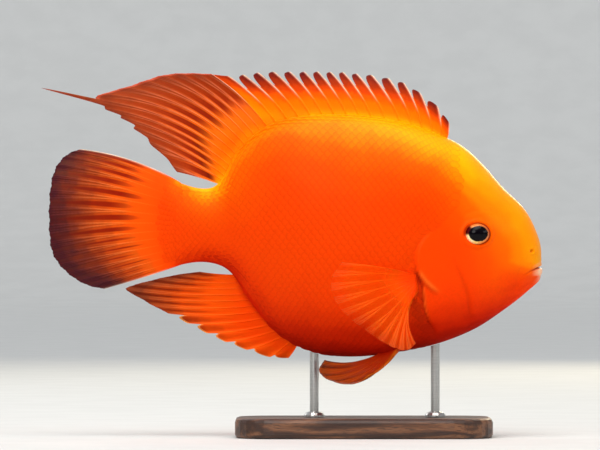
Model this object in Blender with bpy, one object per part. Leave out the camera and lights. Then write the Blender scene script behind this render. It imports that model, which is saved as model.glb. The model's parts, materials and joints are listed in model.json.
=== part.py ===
"""Blood parrot cichlid, a still life-size model of an adult fish held up by a plain display stand.

The snout points along +X, the fish's right side faces -Y and +Z is up. The origin is the bottom centre of the
whole model's box, at the level of the stand's underside. Sizes below are millimetres, and their heights are
counted from a level that lies UNDERSIDE below the stand. A mesh is turned to metres, and its heights to those
above the stand's underside, when it is made.
"""

import math

import bmesh
import bpy
import numpy as np
from mathutils import Vector

MM = 0.001
UNDERSIDE = 3.2  # height of the stand's underside
GAP = 0.3  # clear space between two pieces that touch

# The body's sections from the mouth to the root of the tail fin. Each row holds the point on the back, the
# point on the belly, the half width, the height of the widest place (-1 belly to 1 back) and how full the
# section is above and below it (2 is an ellipse).
SECTIONS = (
    ((100.9, 75.3), (100.9, 69.4), 0.9, 0.0, 2.0, 2.0),
    ((100.9, 78.6), (100.2, 66.9), 3.7, 0.0, 2.1, 2.0),
    ((100.2, 82.6), (98.2, 64.8), 6.6, 0.0, 2.2, 2.0),
    ((98.0, 88.6), (94.0, 61.2), 9.6, 0.0, 2.3, 2.0),
    ((93.4, 96.4), (88.8, 57.0), 12.5, 0.0, 2.3, 2.0),
    ((86.3, 103.3), (82.4, 52.4), 15.2, 0.0, 2.3, 2.0),
    ((79.0, 111.6), (75.3, 47.8), 17.6, 0.0, 2.2, 2.1),
    ((70.5, 119.9), (66.4, 43.7), 19.8, 0.0, 2.1, 2.2),
    ((62.4, 124.3), (56.7, 40.5), 21.3, 0.0, 2.0, 2.3),
    ((49.8, 129.2), (45.0, 38.1), 22.2, 0.0, 1.9, 2.4),
    ((33.6, 132.6), (31.6, 36.2), 21.8, 0.02, 1.9, 2.4),
    ((17.4, 133.7), (18.6, 36.0), 20.2, 0.04, 1.9, 2.3),
    ((3.2, 132.8), (7.3, 38.1), 17.6, 0.06, 1.9, 2.1),
    ((-8.9, 129.4), (-3.2, 43.3), 14.2, 0.06, 1.9, 1.9),
    ((-17.8, 123.3), (-12.2, 51.8), 11.2, 0.04, 1.9, 1.8),
    ((-23.5, 116.6), (-18.6, 60.8), 9.0, 0.02, 1.9, 1.9),
    ((-27.5, 108.9), (-23.9, 68.9), 7.4, 0.0, 2.0, 2.0),
    ((-32.4, 104.3), (-30.0, 73.1), 6.2, 0.0, 2.0, 2.0),
    ((-39.3, 104.3), (-38.1, 74.1), 5.2, 0.0, 2.0, 2.0),
    ((-46.2, 106.5), (-46.2, 72.7), 4.0, 0.0, 2.1, 2.1),
)
RIDGE_HALF = 1.5  # half width of the flat seam along the back and the belly, where the fins stand
RIDGE_SHARE = 0.3  # of the half width, where the body is too thin for the whole seam
BODY_STATIONS = 44
NEAR_SNOUT = 0.25  # how much closer than evenly the stations lie at the snout
BODY_RING = 20  # faces from the back to the belly, on each side

# The cuts that part the body, seen from the side. The gill line runs from the nape along the hind edge of the
# gill cover to the throat.
FAR, ABOVE, BELOW = 120.0, 140.0, 20.0  # past the body to each side, above it and below it
GILL_LINE = ((64.8, ABOVE), (63.6, 124.0), (59.9, 113.4), (55.1, 101.2), (51.8, 90.3), (50.0, 81.0),
             (50.4, 74.1), (51.8, 68.4), (53.1, 62.8), (54.3, 56.7), (56.3, 49.8), (59.9, 43.7),
             (63.2, 38.5), (66.0, BELOW))
TAIL_LINE = ((-30.6, ABOVE), (-30.6, 104.9), (-25.0, 68.2), (-25.0, BELOW))
SNOUT, MOUTH_CORNER = 100.75, 92.3  # how far along the fish the mouth begins and ends
MOUTH_LINE = ((FAR, 72.6), (101.6, 72.2), (96.6, 70.6), (MOUTH_CORNER, 67.2))
MOUTH_OPEN, CORNER_OPEN = 0.9, 0.3  # how far the lips part at the front and at the corner of the mouth
JAW_BACK = ((89.3, 61.6), (86.5, 54.3), (85.5, 40.0), (85.5, BELOW))
UPPER_LIP_END, LOWER_LIP_END = MOUTH_CORNER + 0.3, MOUTH_CORNER + 2.0
LIP_FRONT, LIP_CORNER = 1.9, 0.9  # radius of the lips at the front and at the corner of the mouth
LIP_PART = 0.25  # each lip's clearance from the line of the mouth
LIP_INSET = 0.5  # how deep the lips' middle lies in the skin, as a share of their radius
LIP_POINTS, LIP_SIDES = 13, 8

EYE_PLACE = (75.1, 85.5)
EYE_RADIUS, EYE_DEPTH = 5.4, 3.9  # seen from the side, and across the head
EYE_RIM = 4.8  # radius of the part of the eye that the socket leaves open
ORBIT_SWELL, ORBIT_REACH = 1.1, 9.0
NOSTRIL_PLACE = (97.0, 78.6)
NOSTRIL_RADIUS, NOSTRIL_DEPTH = 0.75, 1.6

COVER_CENTRE = (60.5, 65.5)
COVER_EDGE = ((59.5, 86.0), (53.8, 83.8), (50.8, 79.6), (50.9, 73.2), (53.0, 67.2), (54.1, 61.0),
              (55.4, 54.6), (58.6, 49.6), (64.0, 48.4), (69.4, 51.0), (71.2, 56.6), (69.6, 64.4),
              (67.0, 72.0), (64.6, 80.0))
COVER_THICK, COVER_EDGE_THICK = 1.5, 0.6
COVER_ROUND, COVER_RINGS = 28, 4

MEMBRANE = 0.25  # half thickness of the skin between rays
SPINE_ROOT, RAY_ROOT, RAY_TIP = 0.95, 0.85, 0.3  # half thickness of a hard spine and of a soft ray
# Half thickness of each fin's fleshy root, and the share of its rays' length over which the flesh thins out.
SEAM_FLESH, PECTORAL_FLESH, PELVIC_FLESH = (1.3, 0.22), (1.1, 0.4), (1.0, 0.33)
# What stands between one ray and the next: how far across the space, how far out it reaches, and how much of
# the ray's ridge it has.
SPINE_STEPS = ((0.0, 1.0, 1.0), (0.12, 0.985, 0.0), (0.46, 0.965, 0.0), (0.86, 0.7, 0.0))
RAY_STEPS = ((0.0, 1.0, 1.0), (0.24, 0.985, 0.0), (0.76, 0.985, 0.0))
WEB_STEP = (-0.08, 0.97, 0.0)  # the free edge in front of the next fin's first ray

# Hard spines of the dorsal fin, front to back: how far along the back each stands, and its tip.
DORSAL_SPINE_ROOTS = (63.0, 60.6, 57.2, 53.4, 49.4, 44.6, 38.6, 33.0, 28.0, 22.8, 17.8, 13.0, 8.2, 3.2, -1.4,
                      -6.0)
DORSAL_SPINE_TIPS = ((63.8, 130.2), (59.1, 137.0), (52.0, 142.6), (45.5, 146.6), (39.3, 148.5), (32.5, 149.9),
                     (26.4, 150.4), (20.9, 151.0), (15.8, 151.1), (10.6, 151.3), (5.1, 151.2), (-0.7, 151.2),
                     (-7.2, 151.2), (-13.6, 150.8), (-19.6, 150.0), (-25.6, 149.2))
DORSAL_SOFT_ROOTS = (-9.8, -12.6, -15.2, -17.4, -19.4, -21.2, -22.8, -24.2, -25.4, -26.4, -27.4, -28.4, -29.6)
DORSAL_SOFT_TIPS = ((-32.8, 149.7), (-40.1, 149.6), (-47.2, 149.4), (-54.3, 148.2), (-61.4, 146.0),
                    (-69.5, 143.4), (-77.6, 140.9), (-79.6, 138.8), (-75.6, 135.9), (-69.3, 132.4),
                    (-64.0, 128.0), (-57.0, 121.4), (-46.6, 110.6))
FILAMENT_RAY, FILAMENT_TIP = 7, (-101.7, 144.6)
FILAMENT_REACH, FILAMENT_TAPER = 0.3, 0.5  # half its width at its root in spaces between rays, and at its tip
DORSAL_BOWS, DORSAL_SOFT_BOWS = (-0.05, -0.05), (-0.05, 0.0)  # of the first and of the last ray
DORSAL_ROWS, DORSAL_SOFT_ROWS = 5, 8
DORSAL_SWAY, DORSAL_SWAY_EVERY = 2.2, 17.0  # how far the edge sways out of the middle plane, and over what

ANAL_SPINE_ROOTS = (2.0, -0.8, -3.6, -6.4, -8.9, -11.3)
ANAL_SPINE_TIPS = ((-1.4, 35.2), (-9.2, 35.6), (-18.6, 38.6), (-27.0, 41.8), (-34.8, 45.4), (-42.5, 49.4))
ANAL_SOFT_ROOTS = (-13.5, -15.3, -17.0, -18.5, -19.9, -21.2, -22.3, -23.4)
ANAL_SOFT_TIPS = ((-50.2, 53.3), (-57.5, 57.0), (-63.4, 60.4), (-67.4, 63.4), (-60.8, 65.8), (-53.5, 67.6),
                  (-45.4, 69.2), (-37.3, 70.2))
ANAL_BOWS, ANAL_ROWS = (0.04, 0.02), 6
ANAL_SWAY, ANAL_SWAY_EVERY = 1.6, 12.0

CAUDAL_RAYS = 15
CAUDAL_TIPS = ((-85.9, 119.9), (-90.6, 118.2), (-94.6, 114.6), (-97.2, 109.0), (-98.4, 101.0), (-98.7, 92.0),
               (-98.4, 83.0), (-96.9, 76.6), (-93.4, 71.6), (-88.4, 67.4), (-82.4, 64.4), (-76.1, 63.2))
CAUDAL_BOWS, CAUDAL_ROWS = (-0.055, 0.01), 8
CAUDAL_ROOT = 0.97  # of the stalk's height that the rays stand on
CAUDAL_INSET = 0.1  # how much thinner the fin starts than the stalk ends
CAUDAL_FLESH, CAUDAL_FLESH_FALL = 0.5, 1.5  # share of the rays' length that is fleshy, and how fast it thins
CAUDAL_SWAY, CAUDAL_SWAY_EVERY, CAUDAL_TURN = 2.4, 9.0, 2.0  # the last is how far the whole edge turns left

PECTORAL_ROOT = ((49.3, 69.2), (49.7, 62.6))  # top and bottom of the fin's root on the flank
PECTORAL_TIPS = ((19.8, 74.3), (16.4, 69.6), (15.4, 64.2), (17.2, 58.7), (20.8, 53.9), (25.4, 49.8),
                 (30.6, 46.0), (35.4, 42.7), (39.9, 40.3), (43.9, 38.9), (47.2, 39.3), (49.6, 41.6))
PECTORAL_FLARE = (12.0, 16.5)  # how far the blade stands out from its root, at the top and at the bottom
PECTORAL_CUP = 3.0  # how far the tips curl back in
PECTORAL_BOW, PECTORAL_STRAIGHT = 0.10, 0.25  # the second is the place of the one straight ray
PECTORAL_CLEAR = 1.6  # least distance of the blade from the flank
PECTORAL_ROWS = 7

PELVIC_ROOT = ((43.6, 6.2), (37.4, 4.2))  # along the belly and out from the middle, front and back
PELVIC_TIPS = ((30.9, 15.0, 28.6), (25.5, 15.6, 25.3), (19.2, 15.4, 25.3), (13.6, 14.6, 27.3),
               (10.9, 13.4, 30.4), (13.2, 12.2, 34.2))
PELVIC_BOW, PELVIC_ROWS = 0.10, 6

STAND_LENGTH, STAND_WIDTH, STAND_THICK = 104.0, 62.0, 8.0
STAND_MIDDLE = 29.0  # along the fish, under its centre of mass
STAND_CORNER, STAND_CORNER_STEPS, STAND_BEVEL = 16.0, 6, 1.6
ROD_PLACES = {"stand_rod_front": 58.0, "stand_rod_rear": 9.0}
ROD_RADIUS, ROD_SIDES = 1.8, 20
ROD_FOOT = ((4.2, 0.0), (4.2, 0.6), (3.5, 1.6), (ROD_RADIUS, 2.2))  # radius and height above the base


def smooth_curve(points):
    """A natural cubic spline through the points. It takes 0 at the first point, 1 at the next and so on."""
    values = np.array(points, float)
    if values.ndim == 1:
        values = values[:, None]
    count = len(values)
    system = np.eye(count)
    right = np.zeros_like(values)
    for i in range(1, count - 1):
        system[i, i - 1 : i + 2] = 1.0, 4.0, 1.0
        right[i] = 6.0 * (values[i + 1] - 2.0 * values[i] + values[i - 1])
    bends = np.linalg.solve(system, right)

    def at(place):
        i = min(max(int(place), 0), count - 2)
        after = place - i
        before = 1.0 - after
        return (
            before * values[i]
            + after * values[i + 1]
            + ((before**3 - before) * bends[i] + (after**3 - after) * bends[i + 1]) / 6.0
        )

    return at


BACK = smooth_curve([row[0] for row in SECTIONS])
BELLY = smooth_curve([row[1] for row in SECTIONS])
FORM = smooth_curve([row[2:] for row in SECTIONS])
LAST_SECTION = len(SECTIONS) - 1


def orbit_swell(x, z):
    """How far the rim of the eye stands out from the side of the head."""
    away = math.hypot(x - EYE_PLACE[0], z - EYE_PLACE[1]) / ORBIT_REACH
    return ORBIT_SWELL * math.exp(-away * away)


def half_width(place, height):
    """The body's half width in one section, at a height from -1 on the belly to 1 on the back."""
    widest, level, full_above, full_below = FORM(place)
    seam = min(RIDGE_HALF, RIDGE_SHARE * widest)
    turned = (height - level) / (1.0 - level * height)
    power = full_above if turned > 0.0 else full_below
    share = math.sqrt(max(0.0, 1.0 - abs(turned) ** power))
    x, z = (BACK(place) * (1.0 + height) + BELLY(place) * (1.0 - height)) / 2.0
    return seam + (widest - seam) * share + orbit_swell(x, z) * share


def section_of(x, z):
    """The section that a point seen from the side lies in, and its height there from -1 to 1."""
    low, high = 0.0, float(LAST_SECTION)
    point = np.array((x, z))
    for _ in range(40):
        place = (low + high) / 2.0
        across = BACK(place) - BELLY(place)
        toward = point - BELLY(place)
        if across[0] * toward[1] - across[1] * toward[0] > 0.0:
            low = place
        else:
            high = place
    height = 2.0 * float(toward @ across) / float(across @ across) - 1.0
    return place, min(max(height, -1.0), 1.0)


def flank(x, z):
    """How far the skin is from the middle plane at a point seen from the side."""
    return half_width(*section_of(x, z))


def underside(x, out):
    """The height of the belly's skin at a place along the fish and out from its middle."""
    place, _ = section_of(x, guide_point(BELLY, x)[0][1])
    low, high = -1.0, 0.0
    for _ in range(30):
        height = (low + high) / 2.0
        if half_width(place, height) < out:
            low = height
        else:
            high = height
    return float(((BACK(place) * (1.0 + height) + BELLY(place) * (1.0 - height)) / 2.0)[1])


def guide_point(guide, x):
    """The point of the back's or the belly's outline at x, and the direction out of the body there."""
    low, high = 1.0, float(LAST_SECTION)
    for _ in range(40):
        place = (low + high) / 2.0
        if guide(place)[0] > x:
            low = place
        else:
            high = place
    step = 0.01
    along = guide(place + step) - guide(place - step)
    out = np.array((along[1], -along[0])) / np.linalg.norm(along)
    return guide(place), out if guide is BACK else -out


def new_object(name, points, faces):
    """An object from points in millimetres, with its faces pointing out."""
    floor = Vector((0.0, 0.0, UNDERSIDE))
    mesh = bpy.data.meshes.new(name)
    mesh.from_pydata([(Vector(p) - floor) * MM for p in points], [], faces)
    shaped = bmesh.new()
    shaped.from_mesh(mesh)
    bmesh.ops.recalc_face_normals(shaped, faces=shaped.faces)
    shaped.to_mesh(mesh)
    shaped.free()
    obj = bpy.data.objects.new(name, mesh)
    bpy.context.scene.collection.objects.link(obj)
    return obj


def lofted(rings):
    """Points and faces of a skin over rings of equal length, with the two end rings filled."""
    count = len(rings[0])
    points = [p for ring in rings for p in ring]
    faces = []
    for r in range(len(rings) - 1):
        for i in range(count):
            a, b = r * count + i, r * count + (i + 1) % count
            faces.append((a, b, b + count, a + count))
    faces.append(tuple(range(count)))
    faces.append(tuple(range(len(points) - count, len(points))))
    return points, faces


def body_ring(place):
    """The body's section as a ring of points, up the right side from the belly and down the left."""
    side = []
    for i in range(BODY_RING + 1):
        height = math.cos(math.pi * i / BODY_RING)
        x, z = (BACK(place) * (1.0 + height) + BELLY(place) * (1.0 - height)) / 2.0
        side.append((x, half_width(place, height), z))
    return [(x, -y, z) for x, y, z in side] + [(x, y, z) for x, y, z in reversed(side)]


def whole_body():
    """Head, trunk and tail stalk in one skin, with closer sections at the snout."""
    rings = []
    for i in range(BODY_STATIONS + 1):
        along = i / BODY_STATIONS
        rings.append(body_ring(LAST_SECTION * ((1.0 - NEAR_SNOUT) * along + NEAR_SNOUT * along**2)))
    return new_object("whole_body", *lofted(rings))


def bent_line(points, place):
    """A point of an open chain of straight pieces, at a place from 0 to 1."""
    spot = place * (len(points) - 1)
    i = min(int(spot), len(points) - 2)
    return np.array(points[i]) * (1.0 - spot + i) + np.array(points[i + 1]) * (spot - i)


def mouth_height(x):
    """The height of the line of the mouth at a place along the fish."""
    line = sorted(MOUTH_LINE)
    return float(np.interp(x, [point[0] for point in line], [point[1] for point in line]))


def lip(name, corner, lift):
    """One lip, a tube round the front of the mouth. Lift is 1 above the line of the mouth and -1 below it."""
    path = []
    for i in range(LIP_POINTS):
        angle = math.pi * (i / (LIP_POINTS - 1) - 0.5)
        x = corner + (SNOUT - corner) * math.cos(angle)
        thick = LIP_CORNER + (LIP_FRONT - LIP_CORNER) * math.cos(angle)
        z = mouth_height(x) + lift * (thick + LIP_PART)
        y = flank(x, z) * math.copysign(min(1.0, abs(4.0 * angle)), angle)
        inset = LIP_INSET * thick
        path.append((Vector((x - inset * math.cos(angle), y - inset * math.sin(angle), z)), thick))
    rings = []
    for i, (centre, thick) in enumerate(path):
        ahead = path[min(i + 1, LIP_POINTS - 1)][0] - path[max(i - 1, 0)][0]
        side = ahead.cross(Vector((0.0, 0.0, 1.0))).normalized()
        up = side.cross(ahead).normalized()
        turn = 2.0 * math.pi / LIP_SIDES
        rings.append([centre + thick * (math.cos(k * turn) * side + math.sin(k * turn) * up)
                      for k in range(LIP_SIDES)])
    return new_object(name, *lofted(rings))


def prism(name, outline):
    """A straight block through the fish, from an outline seen from the side."""
    rings = [[(x, y, z) for x, z in outline] for y in (-FAR, FAR)]
    return new_object(name, *lofted(rings))


def ellipsoid(name, centre, radii, around=20, rings=12):
    """A ball stretched along the axes."""
    stations = []
    for r in range(1, rings):
        tilt = math.pi * r / rings
        stations.append([(centre[0] + radii[0] * math.sin(tilt) * math.cos(2.0 * math.pi * i / around),
                          centre[1] + radii[1] * math.cos(tilt),
                          centre[2] + radii[2] * math.sin(tilt) * math.sin(2.0 * math.pi * i / around))
                         for i in range(around)])
    points, faces = lofted(stations)
    del faces[-2:]
    for end, ring_start in ((1.0, 0), (-1.0, (rings - 2) * around)):
        points.append((centre[0], centre[1] + end * radii[1], centre[2]))
        faces += [(ring_start + i, ring_start + (i + 1) % around, len(points) - 1) for i in range(around)]
    return new_object(name, points, faces)


def combined(obj, others, operation):
    """Joins, cuts or keeps with one exact Boolean, then removes the other objects and any loose scrap."""
    group = bpy.data.collections.new("tools")
    bpy.context.scene.collection.children.link(group)
    for other in others:
        bpy.context.scene.collection.objects.unlink(other)
        group.objects.link(other)
    change = obj.modifiers.new("shape", "BOOLEAN")
    change.operation = operation
    change.operand_type = "COLLECTION"
    change.collection = group
    change.solver = "EXACT"
    bpy.context.view_layer.update()
    graph = bpy.context.evaluated_depsgraph_get()
    made = bpy.data.meshes.new_from_object(obj.evaluated_get(graph))
    obj.modifiers.clear()
    obj.data = made
    for other in others:
        bpy.data.objects.remove(other)
    bpy.data.collections.remove(group)
    keep_largest(obj)
    return obj


def keep_largest(obj):
    """Leaves only the mesh's largest closed surface."""
    shaped = bmesh.new()
    shaped.from_mesh(obj.data)
    left, islands = set(shaped.faces), []
    while left:
        found, edge = set(), [left.pop()]
        while edge:
            face = edge.pop()
            found.add(face)
            for side in face.edges:
                for near in side.link_faces:
                    if near in left:
                        left.remove(near)
                        edge.append(near)
        islands.append(found)
    islands.sort(key=lambda faces: sum(face.calc_area() for face in faces))
    scraps = [face for island in islands[:-1] for face in island]
    bmesh.ops.delete(shaped, geom=scraps, context="FACES")
    loose = [point for point in shaped.verts if not point.link_faces]
    bmesh.ops.delete(shaped, geom=loose, context="VERTS")
    shaped.to_mesh(obj.data)
    shaped.free()


def moved_line(line, shift):
    """The same line, moved along the fish."""
    return [(x + shift, z) for x, z in line]


def lip_line(way):
    """The line of the mouth, moved up for the roof of the slit or down for its floor."""
    opened = []
    for x, z in MOUTH_LINE:
        share = (x - MOUTH_CORNER) / (SNOUT - MOUTH_CORNER)
        opened.append((x, z + way * (CORNER_OPEN + (MOUTH_OPEN - CORNER_OPEN) * min(share, 1.0)) / 2.0))
    return opened


def body_parts():
    """The body parted by thin cuts into head, lower jaw, trunk and tail stalk."""
    half = GAP / 2.0
    gill_front, gill_back = moved_line(GILL_LINE, half), moved_line(GILL_LINE, -half)
    tail_front, tail_back = moved_line(TAIL_LINE, half), moved_line(TAIL_LINE, -half)
    throat, chin = moved_line(JAW_BACK, -half), moved_line(JAW_BACK, half)
    zones = {
        "head": [(FAR, ABOVE)] + gill_front + throat[::-1] + [(MOUTH_CORNER - GAP, MOUTH_LINE[-1][1])]
        + lip_line(1.0)[::-1],
        "lower_jaw": lip_line(-1.0) + chin + [(FAR, BELOW)],
        "torso": gill_back + tail_front[::-1],
        "tail_stalk": tail_back + [(-FAR, BELOW), (-FAR, ABOVE)],
    }
    whole = whole_body()
    parts = {}
    for name, outline in zones.items():
        part = bpy.data.objects.new(name, whole.data.copy())
        bpy.context.scene.collection.objects.link(part)
        parts[name] = combined(part, [prism(name + "_zone", outline)], "INTERSECT")
    bpy.data.objects.remove(whole)
    combined(parts["head"], [lip("upper_lip", UPPER_LIP_END, 1.0)], "UNION")
    combined(parts["lower_jaw"], [lip("lower_lip", LOWER_LIP_END, -1.0)], "UNION")
    return parts


def eye_centre():
    """How far out the middle of the eyeball is, so that the skin meets it at its rim."""
    x, z = EYE_PLACE
    return flank(x, z) - EYE_DEPTH * math.sqrt(1.0 - (EYE_RIM / EYE_RADIUS) ** 2)


def make_eyes(head):
    """The eyeballs, and the sockets and nostrils cut for them in the head."""
    x, z = EYE_PLACE
    out = eye_centre()
    cutters, eyes = [], []
    for side, way in (("right", -1.0), ("left", 1.0)):
        eyes.append(ellipsoid("eye_" + side, (x, way * out, z), (EYE_RADIUS, EYE_DEPTH, EYE_RADIUS)))
        room = (EYE_RADIUS + GAP, EYE_DEPTH + GAP, EYE_RADIUS + GAP)
        cutters.append(ellipsoid("socket_" + side, (x, way * out, z), room))
        pit = (NOSTRIL_PLACE[0], way * flank(*NOSTRIL_PLACE), NOSTRIL_PLACE[1])
        size = (NOSTRIL_RADIUS, NOSTRIL_DEPTH, NOSTRIL_RADIUS)
        cutters.append(ellipsoid("nostril_" + side, pit, size, around=8, rings=6))
    combined(head, cutters, "DIFFERENCE")
    return eyes


def gill_cover(name, way):
    """One gill cover, a domed plate over the cheek with a free hind edge."""
    edge = smooth_curve(COVER_EDGE + COVER_EDGE[:2])
    layers = []
    for outer in (False, True):
        layer = []
        for ring in range(COVER_RINGS + 1):
            share = ring / COVER_RINGS
            thick = COVER_EDGE_THICK + (COVER_THICK - COVER_EDGE_THICK) * (1.0 - share**4)
            for k in range(COVER_ROUND if ring else 1):
                rim = edge(0.5 + len(COVER_EDGE) * k / COVER_ROUND)
                x, z = np.array(COVER_CENTRE) * (1.0 - share) + rim * share
                layer.append((x, way * (flank(x, z) + GAP + (thick if outer else 0.0)), z))
        layers.append(layer)
    points = layers[0] + layers[1]
    faces = []
    for start in (0, len(layers[0])):
        for k in range(COVER_ROUND):
            after = (k + 1) % COVER_ROUND
            faces.append((start, start + 1 + k, start + 1 + after))
            for ring in range(1, COVER_RINGS):
                inner, outer = start + 1 + (ring - 1) * COVER_ROUND, start + 1 + ring * COVER_ROUND
                faces.append((inner + k, outer + k, outer + after))
                faces.append((inner + k, outer + after, inner + after))
    rim = 1 + (COVER_RINGS - 1) * COVER_ROUND
    for k in range(COVER_ROUND):
        a, b = rim + k, rim + (k + 1) % COVER_ROUND
        faces.append((a, b, b + len(layers[0]), a + len(layers[0])))
    return new_object(name, points, faces)


def fin_solid(name, columns, halves, across):
    """A closed fin from columns of points that run root to edge, its half thickness and the way across it.

    Both faces are split into triangles alike, so that a curved fin's faces never cross."""
    wide, tall = len(columns), len(columns[0])
    near, far = [], []
    for column, thick, ways in zip(columns, halves, across):
        for point, half, way in zip(column, thick, ways):
            near.append(Vector(point) + Vector(way) * half)
            far.append(Vector(point) - Vector(way) * half)
    faces = []
    for start in (0, wide * tall):
        for i in range(wide - 1):
            for j in range(tall - 1):
                a, b = start + i * tall + j, start + (i + 1) * tall + j
                faces += [(a, b, b + 1), (a, b + 1, a + 1)]
    rim = [i * tall for i in range(wide)] + [(wide - 1) * tall + j for j in range(1, tall)]
    rim += [i * tall + tall - 1 for i in range(wide - 2, -1, -1)] + list(range(tall - 2, 0, -1))
    for k, a in enumerate(rim):
        b = rim[(k + 1) % len(rim)]
        faces += [(a, b, b + wide * tall), (a, b + wide * tall, a + wide * tall)]
    return new_object(name, near + far, faces)


def fin_places(count, hard=0, web=False):
    """The columns of a fin: place among the rays, reach and ridge, with so many hard spines in front.

    They end on the last ray, or with web just short of it, where the next fin's first ray stands."""
    places = []
    for i in range(count - 1):
        steps = SPINE_STEPS if i < hard else RAY_STEPS
        places += [(i + across, reach, ridge) for across, reach, ridge in steps]
    if web:
        last = places[: 1 - len(SPINE_STEPS)]
        return last + [(count - 1.0 + WEB_STEP[0], *WEB_STEP[1:])]
    return places + [(count - 1.0, 1.0, 1.0)]


def half_thickness(v, ridge, flesh, root=RAY_ROOT):
    """A fin's half thickness at a place from 0 at its root to 1 at its edge, from its flesh and its rays."""
    ray = MEMBRANE + (root + (RAY_TIP - root) * v - MEMBRANE) * ridge
    return max(ray, flesh[0] * (1.0 - v / flesh[1]))


def between(ends, share):
    """The value at a share of the way between two ends."""
    return ends[0] + (ends[1] - ends[0]) * share


def bowed(root, tip, bow, rows):
    """Points from root to tip on a curve that bows to the left of its way by a share of its length."""
    chord = np.array(tip) - np.array(root)
    left = np.array((-chord[1], chord[0]))
    return [np.array(root) + chord * v + left * bow * 4.0 * v * (1.0 - v)
            for v in (j / rows for j in range(rows + 1))]


def flat_fin(name, columns, halves):
    """A fin that stands in the fish's middle plane."""
    return fin_solid(name, columns, halves, [[(0.0, 1.0, 0.0)] * len(column) for column in columns])


def seam_fin(name, guide, roots, tips, bows, rows, sway, hard=0, web=False, filament=False):
    """A fin rooted along the seam of the back or the belly."""
    root_at, tip_at = smooth_curve(roots), smooth_curve(tips)
    columns, halves = [], []
    for place, reach, ridge in fin_places(len(roots), hard, web):
        root, out = guide_point(guide, float(root_at(place)[0]))
        line = bowed(root + GAP * out, tip_at(place), between(bows, place / (len(roots) - 1)), rows)
        beside = place - FILAMENT_RAY
        if filament and abs(beside) < FILAMENT_REACH:
            line[-1] = np.array(FILAMENT_TIP) - np.array((0.0, FILAMENT_TAPER * beside))
            reach = 1.0
        column, half = [], []
        for j in range(rows + 1):
            spot = reach * j
            k = min(int(spot), rows - 1)
            x, z = line[k] * (1.0 + k - spot) + line[k + 1] * (spot - k)
            v = spot / rows
            column.append((x, sway(x, v), z))
            half.append(half_thickness(v, ridge, SEAM_FLESH, SPINE_ROOT if place < hard else RAY_ROOT))
        columns.append(column)
        halves.append(half)
    return flat_fin(name, columns, halves)


def dorsal_sway(x, v):
    """How far the dorsal fin sways to the left of the middle plane."""
    return DORSAL_SWAY * v * v * math.sin(x / DORSAL_SWAY_EVERY)


def anal_sway(x, v):
    """How far the anal fin sways to the left of the middle plane."""
    return ANAL_SWAY * v * v * math.sin(x / ANAL_SWAY_EVERY + 1.0)


def dorsal_fins():
    """The dorsal fin's hard part, with its skin reaching back to the first soft ray, and its soft part."""
    spiny = seam_fin("dorsal_fin_spiny", BACK, DORSAL_SPINE_ROOTS + DORSAL_SOFT_ROOTS[:1],
                     DORSAL_SPINE_TIPS + DORSAL_SOFT_TIPS[:1], DORSAL_BOWS, DORSAL_ROWS, dorsal_sway,
                     hard=len(DORSAL_SPINE_ROOTS), web=True)
    soft = seam_fin("dorsal_fin_soft", BACK, DORSAL_SOFT_ROOTS, DORSAL_SOFT_TIPS, DORSAL_SOFT_BOWS,
                    DORSAL_SOFT_ROWS, dorsal_sway, filament=True)
    return [spiny, soft]


def anal_fin():
    """The anal fin, with its few hard spines in front and soft rays behind."""
    return seam_fin("anal_fin", BELLY, ANAL_SPINE_ROOTS + ANAL_SOFT_ROOTS, ANAL_SPINE_TIPS + ANAL_SOFT_TIPS,
                    ANAL_BOWS, ANAL_ROWS, anal_sway, hard=len(ANAL_SPINE_ROOTS))


def caudal_fin():
    """The tail fin, a fan of rays that stands on the flat hind end of the tail stalk."""
    tip_at = smooth_curve(CAUDAL_TIPS)
    (end, top), (_, low) = SECTIONS[-1][:2]
    columns, halves = [], []
    for place, reach, ridge in fin_places(CAUDAL_RAYS):
        share = place / (CAUDAL_RAYS - 1)
        height = CAUDAL_ROOT * (1.0 - 2.0 * share)
        root = np.array((end - GAP, between((low, top), (1.0 + height) / 2.0)))
        tip = root + (tip_at(share * (len(CAUDAL_TIPS) - 1)) - root) * reach
        stalk = half_width(LAST_SECTION, height) - CAUDAL_INSET
        column, half = [], []
        for j, (x, z) in enumerate(bowed(root, tip, between(CAUDAL_BOWS, share), CAUDAL_ROWS)):
            v = j / CAUDAL_ROWS
            sway = CAUDAL_SWAY * math.sin(z / CAUDAL_SWAY_EVERY) + CAUDAL_TURN
            column.append((x, sway * v * v, z))
            flesh = stalk * max(0.0, 1.0 - v / CAUDAL_FLESH) ** CAUDAL_FLESH_FALL
            half.append(max(flesh, half_thickness(v, ridge, SEAM_FLESH)))
        columns.append(column)
        halves.append(half)
    return flat_fin("caudal_fin", columns, halves)


def facing(columns, way):
    """The way across a free fin at each point, on the side that faces away from the body."""
    wide, tall = len(columns), len(columns[0])
    ways = []
    for i in range(wide):
        line = []
        for j in range(tall):
            along = Vector(columns[min(i + 1, wide - 1)][j]) - Vector(columns[max(i - 1, 0)][j])
            out = Vector(columns[i][min(j + 1, tall - 1)]) - Vector(columns[i][max(j - 1, 0)])
            normal = along.cross(out).normalized()
            line.append(normal if normal.dot(way) > 0.0 else -normal)
        ways.append(line)
    return ways


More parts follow.
